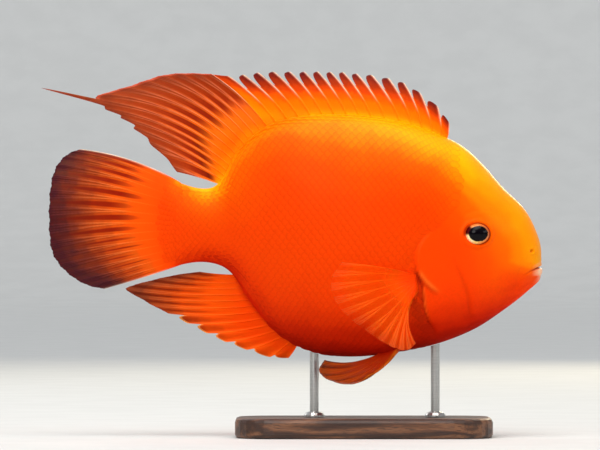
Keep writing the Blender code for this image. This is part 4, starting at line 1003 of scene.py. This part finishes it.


# %% [markdown]
# ## Paint for the fins
# Fin skin is thin and clear with red and brown cells in it. Its paint runs from glowing orange near the body
# to dark towards the edge: partly the cells' colour, and partly painted shade where little light comes back
# through the thin skin. The rays are bone and stay lighter. One function makes each fin's paint from three
# rows of colours, for the bare skin, for the skin on a ray's branches and for the rays, all from the root
# out.

# %% The finish of fin skin
def fin_finish(name, skin_stops, bundle_stops, ray_stops, rim, from_body, shift, clear):
    """Thin fin skin between lighter rays: a low gloss, and some light that goes through."""
    material, tree, surface = new_material(name)
    body, place, _ = body_paint(tree)
    out, ray, bundle, edge_light, spread = [
        node(tree, "ShaderNodeAttribute", attribute_name=label).outputs["Fac"]
        for label in ("out", "ray", "bundle", "rim_light", "spread")]
    blotch = node(tree, "ShaderNodeTexNoise", {"Vector": place, "Scale": 170.0, "Detail": 3.0})
    drift = node(tree, "ShaderNodeMath", {0: blotch, 1: 0.24, 2: -0.12}, operation="MULTIPLY_ADD")
    # Some fins darken sooner at one end than at the other.
    moved = node(tree, "ShaderNodeMapRange", {"Value": spread, "From Min": shift[0], "From Max": shift[1],
                                              "To Min": shift[2], "To Max": shift[3]})
    outer = out
    for change in (drift, moved):
        outer = node(tree, "ShaderNodeMath", {0: outer, 1: change}, operation="ADD")
    bare, web, bone = [node(tree, "ShaderNodeValToRGB", {"Fac": outer}, stops)
                       for stops in (skin_stops, bundle_stops, ray_stops)]
    ray_share = node(tree, "ShaderNodeMath", {0: ray, 1: 0.68}, operation="MULTIPLY")
    colour = bare
    for share, shade in ((bundle, web), (ray_share, bone), (edge_light, paint(rim))):
        colour = node(tree, "ShaderNodeMix", {0: share, 6: colour, 7: shade}, data_type="RGBA")
    root = node(tree, "ShaderNodeMapRange", {"Value": out, "From Min": from_body[0],
                                             "From Max": from_body[1]}, interpolation_type="SMOOTHSTEP")
    colour = node(tree, "ShaderNodeMix", {0: root, 6: body, 7: colour}, data_type="RGBA")
    # Soft rays are made of joints about 1 mm long, which show as fine steps along them.
    joints = node(tree, "ShaderNodeMath", {0: out, 1: 230.0}, operation="MULTIPLY")
    joints = node(tree, "ShaderNodeMath", {0: joints}, operation="SINE")
    joints = node(tree, "ShaderNodeMath", {0: joints, 1: ray}, operation="MULTIPLY")
    steps = node(tree, "ShaderNodeBump", {"Height": joints, "Strength": 0.3, "Distance": 0.00008})
    if clear:
        # Between the rays the skin is clear enough to see the flank through it.
        veil = node(tree, "ShaderNodeAttribute", attribute_name="clear").outputs["Fac"]
        plug(tree, surface, {"Alpha": node(tree, "ShaderNodeMath", {0: 1.0, 1: veil}, operation="SUBTRACT")})
    plug(tree, surface, {
        "Base Color": colour, "Normal": steps, "Roughness": 0.42, "IOR": 1.38,
        "Specular IOR Level": 0.3, "Specular Tint": paint("ffb060"), "Subsurface Weight": 0.25,
        "Subsurface Radius": (1.0, 0.4, 0.15), "Subsurface Scale": 0.0012})
    return material


# %% The colours of each fin
# For each fin: its rows of colours, the colour of its lit edge, over which share of the rays the body's paint
# gives way to the fin's, from where to where across the fin the colours shift and by how much, whether the
# flank shows through, and its pieces with the solids they stand for.
FIN_PAINTS = {
    "spiny_fin_skin": (
        ((0.0, "ff8800"), (0.3, "ff7400"), (0.48, "f85a04"), (0.6, "d44008"), (0.74, "a42e0e"),
         (0.88, "7c2018"), (1.0, "58161e")),
        ((0.0, "ff8800"), (0.3, "ff7600"), (0.55, "ff6204"), (0.72, "d84c10"), (0.88, "a8381c"),
         (1.0, "8c3024")),
        # The spines pale to cream at their tips, partly a painted highlight.
        ((0.0, "ff8c00"), (0.4, "ff8010"), (0.7, "ff8a48"), (1.0, "ffd0b8")),
        "ffe0c8", (0.0, 0.2), (0.88, 1.0, 0.0, -0.28), False, ((fin_spiny, "dorsal_fin_spiny"),)),
    "soft_fin_skin": (
        ((0.0, "4c0a0c"), (0.2, "6e120a"), (0.38, "8c2008"), (0.65, "9a2e0a"), (0.85, "902c10"),
         (1.0, "7c2614")),
        ((0.0, "ff7200"), (0.28, "fa6a10"), (0.46, "e25c20"), (0.66, "b2441a"), (0.86, "9a3816"),
         (1.0, "842e16")),
        ((0.0, "ff7c08"), (0.35, "ff9050"), (0.65, "ea7850"), (1.0, "ac5038")),
        "c05038", (0.02, 0.2), (0.0, 1.0, 0.0, 0.0), False, ((fin_soft, "dorsal_fin_soft"),)),
    "tail_fin_skin": (
        ((0.0, "ff5000"), (0.22, "ee3c00"), (0.34, "8c1206"), (0.6, "8a1804"), (0.8, "6c1008"),
         (1.0, "380c18")),
        ((0.0, "ff5000"), (0.34, "fc5204"), (0.5, "e0540e"), (0.64, "ba4412"), (0.76, "8e3012"),
         (0.86, "6a2216"), (0.94, "4a181c"), (1.0, "3a101e")),
        ((0.0, "ff5400"), (0.4, "ff6a18"), (0.58, "f07834"), (0.74, "c85c30"), (0.86, "8a3a30"),
         (1.0, "542430")),
        "ffe0c8", (0.04, 0.36), (0.45, 0.85, 0.02, 0.13), False, ((fin_tail, "caudal_fin"),)),
    "anal_fin_skin": (
        ((0.0, "f04000"), (0.3, "e84804"), (0.5, "c84006"), (0.75, "80240a"), (1.0, "5c1a0e")),
        ((0.0, "f44400"), (0.35, "f05004"), (0.55, "dc4a06"), (0.75, "b03c0c"), (0.9, "842c10"),
         (1.0, "682212")),
        ((0.0, "fc5000"), (0.35, "ff6814"), (0.6, "ec6820"), (0.85, "b85428"), (1.0, "8c4028")),
        "f0a050", (0.0, 0.1), (0.25, 0.65, -0.42, 0.06), False, ((fin_anal, "anal_fin"),)),
    "breast_fin_skin": (
        ((0.0, "ff4c00"), (0.4, "fc4a00"), (0.75, "f04002"), (1.0, "d43408")),
        ((0.0, "ff4c00"), (0.4, "ff5400"), (0.75, "ff5804"), (1.0, "f05010")),
        ((0.0, "ff5000"), (0.4, "ff6408"), (0.8, "ff6c20"), (1.0, "f46c38")),
        "ff6c30", (0.08, 0.3), (0.0, 1.0, 0.0, 0.0), True,
        ((fin_breast_right, "pectoral_fin_right"), (fin_breast_left, "pectoral_fin_left"))),
    "belly_fin_skin": (
        ((0.0, "a01200"), (0.35, "9c2204"), (0.7, "8a2406"), (1.0, "702006")),
        ((0.0, "b01800"), (0.35, "b02c06"), (0.7, "a03406"), (1.0, "84300c")),
        ((0.0, "b82000"), (0.4, "c4440c"), (1.0, "b0501c")),
        "e46c14", (0.0, 0.15), (0.0, 1.0, 0.0, 0.0), True,
        ((fin_belly_right, "pelvic_fin_right"), (fin_belly_left, "pelvic_fin_left"))),
}
for name, (*paints, pieces) in FIN_PAINTS.items():
    finish = fin_finish(name, *paints)
    for piece, cad_name in pieces:
        piece.data.materials.append(finish)
        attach(piece, "root")
        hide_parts(cad_name)
print("kinds of fin painted:", len(FIN_PAINTS))


# %% [markdown]
# ## One scale
# A scale is a thin plate with a rounded hind edge. Its front end lies in a pocket of the skin, under the
# scale before it. Hundreds are needed, so one plate has few faces: a low dome on top, a rim, and a closed
# underside that the skin hides. It is drawn one unit long, and the next step sizes it.

# %% The plate of a scale
PLATE_POINTS = 12


def scale_plate():
    """A closed plate one unit long. Its dome and rim face +Z and its hind edge faces -X."""
    points, uv = [(-0.05, 0.0, 0.05)], [(0.5, 0.5)]
    for share, lift in ((0.8, 0.04), (1.0, 0.012)):
        for k in range(PLATE_POINTS):
            angle = 2.0 * math.pi * k / PLATE_POINTS
            long = 0.52 if math.cos(angle) < 0.0 else 0.6
            points.append((share * long * math.cos(angle), 0.5 * share * math.sin(angle), lift))
            uv.append((0.5 + 0.5 * share * math.cos(angle), 0.5 + 0.5 * share * math.sin(angle)))
    points.append((0.0, 0.0, -0.22))
    uv.append((0.5, 0.5))
    faces, rims = [], set()
    for k in range(PLATE_POINTS):
        a, b = 1 + k, 1 + (k + 1) % PLATE_POINTS
        low_a, low_b = a + PLATE_POINTS, b + PLATE_POINTS
        faces += [(0, a, b), (a, low_a, low_b, b), (low_a, len(points) - 1, low_b)]
        rims.add(frozenset((low_a, low_b)))
    mesh = bpy.data.meshes.new("scale_plate")
    mesh.from_pydata(points, [], faces)
    # The rim is a sharp edge, so that the shading of the hidden underside doesn't darken the top.
    for edge in mesh.edges:
        edge.use_edge_sharp = frozenset(edge.vertices) in rims
    edge_share = mesh.attributes.new("rim", "FLOAT", "POINT")
    edge_share.data.foreach_set("value", [0.0] + [0.4] * PLATE_POINTS + [1.0] * (PLATE_POINTS + 1))
    layer = mesh.uv_layers.new(name="plate")
    for loop in mesh.loops:
        layer.data[loop.index].uv = uv[loop.vertex_index]
    return bpy.data.objects.new("scale_plate", mesh)


plate = scale_plate()
print("faces on one scale:", len(plate.data.polygons))


# %% [markdown]
# ## Where the scales lie
# Scales stand in rows along the body, every second row half a step behind, as roof tiles do. A row keeps
# its distance from the line along the middle of the flank, measured round the body, so the rows run out one
# by one at the back and at the belly, as on a real fish. This kind has about 30 scales between the gill
# cover and the tail. They get smaller towards the nape and the tail stalk, and the smallest run out on the
# root of the tail fin. Head and gill covers look bare in the photograph, so they are left smooth.

# %% The rows of scales
SCALE_STEP, ROW_STEP = 3.1, 2.0  # along the body and between rows, on the middle of the flank
MIDDLE_TURN = 1.25  # where the line along the flank runs, as a turn from the back


def scale_size(x):
    """How large scales are along the fish, as a share of those on the flank."""
    return np.interp(x, (-47.0, -30.0, -8.0, 40.0, 58.0, 76.0, 102.0), (0.72, 0.78, 1.0, 1.0, 0.8, 0.68, 0.6))


def lengths_along(line, unit=1.0):
    """How far along a line each of its points is, counted in units."""
    return np.append(0.0, np.cumsum(np.linalg.norm(np.diff(line, axis=0), axis=1) / unit))


def scale_roots():
    """Where each scale of the right side grows: its section and its turn."""
    places = np.linspace(0.0, LAST, 1600)
    spine = bare_side(places, np.full(places.shape, MIDDLE_TURN))
    steps = lengths_along(spine, SCALE_STEP * scale_size(spine[1:, 0]))
    grid = np.linspace(0.02, math.pi - 0.02, 700)
    found = []
    for row in range(-44, 45):
        for column in range(int(steps[-1]) + 1):
            place = float(np.interp(column + 0.5 * (row % 2), steps, places))
            arc = lengths_along(bare_side(np.full(grid.shape, place), grid))
            wanted = np.interp(MIDDLE_TURN, grid, arc)
            wanted += row * ROW_STEP * float(scale_size(np.interp(place, places, spine[:, 0])))
            if arc[0] < wanted < arc[-1]:
                found.append((place, float(np.interp(wanted, arc, grid))))
    return np.array(found)


roots = scale_roots()
print("places for scales on one side, before the bare parts are left out:", len(roots))


# %% Leave the bare parts out, and turn each scale along the body
place, turn = roots.T
at, dark, pale = skin_side(place, turn)
along, out = ways(lambda *where: skin_side(*where)[0], place, turn, 0.03)
ahead = -along / np.linalg.norm(along, axis=1, keepdims=True)
x, z = at[:, 0], at[:, 2]
nape = x > np.interp(z, (87.0, 92.0, 98.0, 106.0, 112.0), (56.0, 62.0, 66.0, 68.0, 66.0))
cover, _ = beside(x, z, LINES["gill_edge"])
seat, _ = beside(x, z, LINES["fin_seat"])
keep = (~nape & ~((cover > -1.3) & (z < 88.5) & (x > 40.0)) & (np.abs(seat) > 1.8) & (x > -46.0)
        & (turn > np.where(x < -24.0, 0.5, 0.03)) & (turn < math.pi - np.where(x < -10.0, 0.42, 0.1)))
back, belly = paint_depths(x, z)
size = scale_size(x) * np.where(turn > 2.6, 0.85, 1.0)
root = np.stack((place / LAST * 0.99, turn / math.pi), 1)
flank_scales = [values[keep] for values in (at, out, ahead, root, size, back, belly, 0.7 * dark, 0.25 * pale)]
print("scales on one flank:", len(flank_scales[0]))


# %% Small scales on the root of the tail fin
def tail_scales():
    """Position, outward way, way to the head, place on the unwrap and size of the tail's scales."""
    found = []
    last_column = tail_flank.shape[0] - 1
    for i, share in enumerate(np.linspace(0.11, 0.89, 17)):
        column = int(round(share * last_column))
        lines = [tail_flank[min(max(column + side, 0), last_column)] for side in (-6, 0, 6)]
        lengths = [lengths_along(line) for line in lines]

        def spot(which, away):
            return np.array([np.interp(away, lengths[which], lines[which][:, axis]) for axis in range(3)])

        last = 4.5 + 5.0 * math.sin(math.pi * share)
        for k in range(8):
            away = 0.9 + 1.7 * (k + 0.5 * (i % 2))
            if away < last:
                along = spot(1, away - 0.4) - spot(1, away + 0.4)
                out = np.cross(spot(2, away) - spot(0, away), along)
                out *= -np.sign(out[1]) / np.linalg.norm(out)
                ahead = along / np.linalg.norm(along)
                found.append((spot(1, away), out, ahead, (0.99 + 0.0008 * away, share), 0.62 - 0.02 * away))
    return [np.array(values) for values in zip(*found)]


at, out, ahead, root, size = tail_scales()
no_painted_light = np.zeros(len(size))
small_scales = (at, out, ahead, root, size, *paint_depths(at[:, 0], at[:, 2]), no_painted_light, no_painted_light)
labels = ("at", "out", "ahead", "root", "size", "from_back", "from_belly", "dark_fold", "pale_edge")
scale_data = {label: np.concatenate(pair) for label, *pair in zip(labels, flank_scales, small_scales)}
print("scales on one side:", len(scale_data["size"]), "of them", len(size), "on the root of the tail")


# %% [markdown]
# ## Laying the scales with Geometry Nodes
# Instance on Points puts the plate on every root, turned by the way out and the way to the head that the
# root carries. The hind edge is lifted a little, so that each scale lies on the next. Realize Instances
# makes them real, because the export drops instances. Each scale's patch of the unwrap lies where its root
# is on the skin's own unwrap.

# %% The tree that lays scales
PATCH = 0.003  # the size of one scale's patch on the unwrap


def scale_tree():
    """A node tree that lays plates on points."""
    tree = bpy.data.node_groups.new("lay_scales", "GeometryNodeTree")
    for label, kind in (("Geometry", "Geometry"), ("Plate", "Object"), ("Scale length", "Float"),
                        ("Scale height", "Float"), ("Thickness", "Float"), ("Lift", "Float"),
                        ("Unevenness", "Float"), ("Seed", "Int"), ("Material", "Material")):
        tree.interface.new_socket(label, in_out="INPUT", socket_type="NodeSocket" + kind)
    tree.interface.new_socket("Geometry", in_out="OUTPUT", socket_type="NodeSocketGeometry")
    given = node(tree, "NodeGroupInput").outputs
    out, ahead, root, flat = [
        node(tree, "GeometryNodeInputNamedAttribute", {"Name": label}, data_type="FLOAT_VECTOR")
        for label in ("out", "ahead", "root", "plate")]
    size = node(tree, "GeometryNodeInputNamedAttribute", {"Name": "size"}, data_type="FLOAT")
    turned = node(tree, "FunctionNodeAxesToRotation", {0: out, 1: ahead}, primary_axis="Z",
                  secondary_axis="X")
    uneven = node(tree, "FunctionNodeRandomValue", {2: -1.0, 3: 1.0, "Seed": given["Seed"]},
                  data_type="FLOAT")
    uneven = node(tree, "ShaderNodeMath", {0: uneven, 1: given["Unevenness"]}, operation="MULTIPLY")
    lift = node(tree, "ShaderNodeMath", {0: uneven, 1: given["Lift"]}, operation="ADD")
    tilt = node(tree, "ShaderNodeCombineXYZ", {"Y": lift})
    tilt = node(tree, "FunctionNodeEulerToRotation", {0: tilt})
    turned = node(tree, "FunctionNodeRotateRotation", {0: turned, 1: tilt},
                  rotation_space="LOCAL")
    measure = node(tree, "ShaderNodeCombineXYZ", {"X": given["Scale length"], "Y": given["Scale height"],
                                                  "Z": given["Thickness"]})
    measure = node(tree, "ShaderNodeVectorMath", {0: measure, "Scale": size}, operation="SCALE")
    shape = node(tree, "GeometryNodeObjectInfo", {"Object": given["Plate"], "As Instance": True})
    laid = node(tree, "GeometryNodeInstanceOnPoints", {
        "Points": given["Geometry"], "Instance": shape.outputs["Geometry"], "Rotation": turned,
        "Scale": measure})
    real = node(tree, "GeometryNodeRealizeInstances", {"Geometry": laid})
    patch = node(tree, "ShaderNodeVectorMath", {0: flat, "Scale": PATCH}, operation="SCALE")
    spot = node(tree, "ShaderNodeVectorMath", {0: patch, 1: root}, operation="ADD")
    mapped = node(tree, "GeometryNodeStoreNamedAttribute",
                  {"Geometry": real, "Name": "OFBake", "Value": spot},
                  data_type="FLOAT2", domain="CORNER")
    soft = node(tree, "GeometryNodeSetShadeSmooth", {"Geometry": mapped, "Shade Smooth": True},
                domain="FACE")
    dressed = node(tree, "GeometryNodeSetMaterial", {"Geometry": soft, "Material": given["Material"]})
    node(tree, "NodeGroupOutput", {0: dressed})
    return tree


lay_scales = scale_tree()
print("nodes that lay scales:", len(lay_scales.nodes))


# %% The finish of a scale, and the two coats
# A scale is clear bone under wet skin: the body's paint with a fainter grain. Each is a little redder and
# darker towards its rim.
scale_finish = wet_finish("wet_fish_scale", strength=0.2, height=0.00005, rim_shade="f0b0a0")


def scale_coat(name, way):
    """The scales of one side. Way is -1 for the right side and 1 for the left."""
    mirror = (1.0, -way, 1.0)
    carried = dict(scale_data, out=scale_data["out"] * mirror, ahead=scale_data["ahead"] * mirror,
                   root=np.pad(scale_data["root"] * 0.996, ((0, 0), (0, 1))))
    points = carried.pop("at") * mirror
    roots = to_mesh(name + "_roots", points, [], carried.items())
    change = roots.modifiers.new("scales", "NODES")
    change.node_group = lay_scales
    # A plate is about two steps long and a little over two rows high, so it covers half of the next one.
    settings = {"Plate": plate, "Scale length": 1.75 * SCALE_STEP * MM,
                "Scale height": 2.15 * ROW_STEP * MM, "Thickness": 2.0 * MM, "Lift": math.radians(2.0),
                "Unevenness": math.radians(0.35), "Seed": 3, "Material": scale_finish}
    for item in lay_scales.interface.items_tree:
        if item.in_out == "INPUT" and item.name in settings:
            change[item.identifier] = settings[item.name]
    bpy.context.view_layer.update()
    graph = bpy.context.evaluated_depsgraph_get()
    mesh = bpy.data.meshes.new_from_object(roots.evaluated_get(graph))
    coat = bpy.data.objects.new(name, mesh)
    bpy.context.scene.collection.objects.link(coat)
    bpy.data.objects.remove(roots)
    for label in ("out", "ahead", "root", "size", "plate"):
        if label in mesh.attributes:
            mesh.attributes.remove(mesh.attributes[label])
    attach(coat, "root")
    print(name, "has", len(mesh.polygons), "faces")
    return coat


scales_right, scales_left = scale_coat("scales_right", -1.0), scale_coat("scales_left", 1.0)


# %% [markdown]
# ## The display stand
# The stand is rigid, so its solids stay as they are and only get a better finish: an oiled walnut board,
# and two rods of brushed stainless steel. Wood is made of rings that the saw has cut lengthwise, so noise
# is stretched along the board to give long grain, with fine pores in it.

# %% Walnut
walnut, tree, surface = new_material("oiled_walnut")
place = node(tree, "ShaderNodeTexCoord").outputs["Object"]
long = node(tree, "ShaderNodeMapping", {"Vector": place, "Scale": (6.0, 60.0, 60.0)})
warp = node(tree, "ShaderNodeTexNoise", {"Vector": long, "Scale": 1.6, "Detail": 4.0})
# Growth rings about 3 mm wide, seen where the board cuts them.
rings = node(tree, "ShaderNodeMath", {0: warp, 1: 34.0}, operation="MULTIPLY")
rings = node(tree, "ShaderNodeMath", {0: rings}, operation="SINE")
rings = node(tree, "ShaderNodeMapRange", {"Value": rings, "From Min": -1.0})
wood = node(tree, "ShaderNodeValToRGB", {"Fac": rings}, (
    (0.0, "3a2012"), (0.45, "50301c"), (0.8, "6a4228"), (1.0, "7a5034")))
# Pores are hair-thin and some 4 mm long.
thin = node(tree, "ShaderNodeMapping", {"Vector": place, "Scale": (260.0, 4200.0, 4200.0)})
pores = node(tree, "ShaderNodeTexNoise", {"Vector": thin, "Scale": 1.0, "Detail": 2.0})
pores = node(tree, "ShaderNodeMapRange", {"Value": pores, "From Min": 0.52, "From Max": 0.7})
wood = node(tree, "ShaderNodeMix", {0: pores, 6: wood, 7: paint("24120a")}, data_type="RGBA")
hollow = node(tree, "ShaderNodeBump", {"Height": pores, "Strength": 0.35, "Distance": 0.0001}, invert=True)
plug(tree, surface, {"Base Color": wood, "Normal": hollow, "Roughness": 0.42, "IOR": 1.5})
frame["nodes"]["stand_base"].material_slots[0].material = walnut
print("nodes in the walnut:", len(tree.nodes))

# %% Brushed steel
steel, tree, surface = new_material("brushed_stainless_steel")
place = node(tree, "ShaderNodeTexCoord").outputs["Object"]
# The rods were brushed round and round, so the scratches are long round the rod and 0.15 mm apart up it.
# Real ones are finer, and wouldn't show.
brush = node(tree, "ShaderNodeMapping", {"Vector": place, "Scale": (200.0, 200.0, 6600.0)})
scratch = node(tree, "ShaderNodeTexNoise", {"Vector": brush, "Scale": 1.0, "Detail": 2.0})
tone = node(tree, "ShaderNodeValToRGB", {"Fac": scratch}, ((0.3, "b6b5b2"), (0.7, "c4c3c0")))
marks = node(tree, "ShaderNodeBump", {"Height": scratch, "Strength": 0.05, "Distance": 0.00001})
plug(tree, surface, {"Base Color": tone, "Normal": marks, "Metallic": 1.0, "Roughness": 0.3})
for rod in ("stand_rod_front", "stand_rod_rear"):
    frame["nodes"][rod].material_slots[0].material = steel
print("nodes in the steel:", len(tree.nodes))


# %% [markdown]
# ## Stage, light and camera
# The floor is a wide dish that runs up into a wall, so no line shows behind the fish from any side. Light
# is soft and comes mostly from above and in front, as in the photograph, where the back is bright and the
# belly dark. A lamp behind the fish lights the edge of its forehead. A sun lamp lights the near floor and
# the far wall alike, which lamps close by don't. The camera looks square at the right side, from far
# enough that near and far parts keep their sizes, and its height and lens give the photograph's frame.

# %% Floor and backdrop
FLAT, BEND, TOP = 4.6, 1.4, 2.6  # metres: the flat floor's radius, that of its bend, and the wall's height
AROUND = 96  # points round the dish


def dish():
    """A wide round floor that curves up into a wall on all sides."""
    profile = [(1.5, 0.0), (FLAT, 0.0)]
    profile += [(FLAT + BEND * math.sin(a), BEND - BEND * math.cos(a))
                for a in np.radians(np.arange(7.5, 91.0, 7.5))]
    profile.append((FLAT + BEND, TOP))
    angles = [2.0 * math.pi * k / AROUND for k in range(AROUND)]
    ring = [(math.cos(angle), math.sin(angle)) for angle in angles]
    points = [(0.0, 0.0, 0.0)] + [(r * across, r * deep, z) for r, z in profile for across, deep in ring]
    faces = [(0, 1 + k, 1 + (k + 1) % AROUND) for k in range(AROUND)]
    for start in range(1, 1 + (len(profile) - 1) * AROUND, AROUND):
        faces += [(start + k, start + AROUND + k, start + AROUND + (k + 1) % AROUND, start + (k + 1) % AROUND)
                  for k in range(AROUND)]
    return to_mesh("floor", np.array(points) / MM + (0.0, 0.0, UNDERSIDE), faces)


floor = dish()
paper, tree, surface = new_material("pale_backdrop_paper")
place = node(tree, "ShaderNodeTexCoord").outputs["Object"]
fibre = node(tree, "ShaderNodeTexNoise", {"Vector": place, "Scale": 30.0, "Detail": 3.0})
tone = node(tree, "ShaderNodeValToRGB", {"Fac": fibre}, ((0.3, "d4d4d2"), (0.7, "d8d8d6")))
plug(tree, surface, {"Base Color": tone, "Roughness": 0.9})
floor.data.materials.append(paper)
floor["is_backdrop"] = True
print("floor and wall are one dish of", len(floor.data.polygons), "faces")


# %% Lights and world
def lamp(name, kind, toward, at=(0.0, 0.0, 0.0)):
    """A lamp that shines from the way called toward."""
    made = bpy.data.objects.new(name, bpy.data.lights.new(name, kind))
    made.location = at
    made.rotation_euler = Vector(toward).to_track_quat("Z", "Y").to_euler()
    bpy.context.scene.collection.objects.link(made)
    return made


def soft_light(name, at, size, power, colour="ffffff"):
    """A round area light that looks at the middle of the fish."""
    made = lamp(name, "AREA", Vector(at) - Vector((0.0, 0.0, 0.085)), at)
    made.visible_camera = False
    made.data.shape = "DISK"
    made.data.size, made.data.energy = size, power
    made.data.color = paint(colour)[:3]


soft_light("light_above", (0.1, -0.3, 1.1), 0.8, 7.0, "fffaf2")
soft_light("light_front", (-0.5, -1.3, 0.6), 0.6, 4.5)
soft_light("light_snout", (1.1, -0.7, 0.5), 0.4, 1.5)
soft_light("light_behind", (-0.6, 0.9, 0.8), 0.7, 3.0)
soft_light("light_rim", (0.45, 1.5, 0.55), 0.4, 4.0, "fff0cc")
day = lamp("light_day", "SUN", (-0.25, -0.75, 1.0)).data
day.energy, day.angle = 1.1, math.radians(40.0)
world = bpy.data.worlds.new("studio")
bpy.context.scene.world = world
world.use_nodes = True
plug(world.node_tree, world.node_tree.nodes["Background"], {"Color": paint("dfe4ea"), "Strength": 0.6})
bpy.context.scene.view_settings.view_transform = "Standard"
print("lights:", len(bpy.data.lights))


# %% The camera
PIXEL = 0.405  # millimetres to a pixel of the photograph in the fish's middle plane
DISTANCE = 3.0  # metres: nearer, the eye and the gill cover would move outwards from their places
FRAME_WIDE, FRAME_MIDDLE = 600.0, (300.0, 225.0)  # the photograph's frame in pixels
ORIGIN_PIXEL = (292.0, 445.0)  # the pixel that the drawing's origin is at
camera = bpy.data.cameras.new("camera")
camera.sensor_width = 36.0
camera.lens = camera.sensor_width * DISTANCE / (FRAME_WIDE * PIXEL * MM)
camera_object = bpy.data.objects.new("camera", camera)
camera_object.location = ((FRAME_MIDDLE[0] - ORIGIN_PIXEL[0]) * PIXEL * MM, -DISTANCE,
                          ((ORIGIN_PIXEL[1] - FRAME_MIDDLE[1]) * PIXEL - UNDERSIDE) * MM)
camera_object.rotation_euler = (math.pi / 2.0, 0.0, 0.0)
bpy.context.scene.collection.objects.link(camera_object)
bpy.context.scene.camera = camera_object
print("lens: %.1f mm" % camera.lens)


# %% [markdown]
# ## The size of the dressed model
# Both boxes, of the solids and of the dressed model, are printed. The dressed model has to stay inside the
# solids' box. Both boxes are written down, so that they can be compared after each render.

# %% Write the boxes and finish
bpy.context.view_layer.update()
dressed_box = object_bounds()
for label, corners in (("solids", cad_box), ("dressed", dressed_box)):
    print(label, [[round(value * 1000.0, 2) for value in corner] for corner in corners])
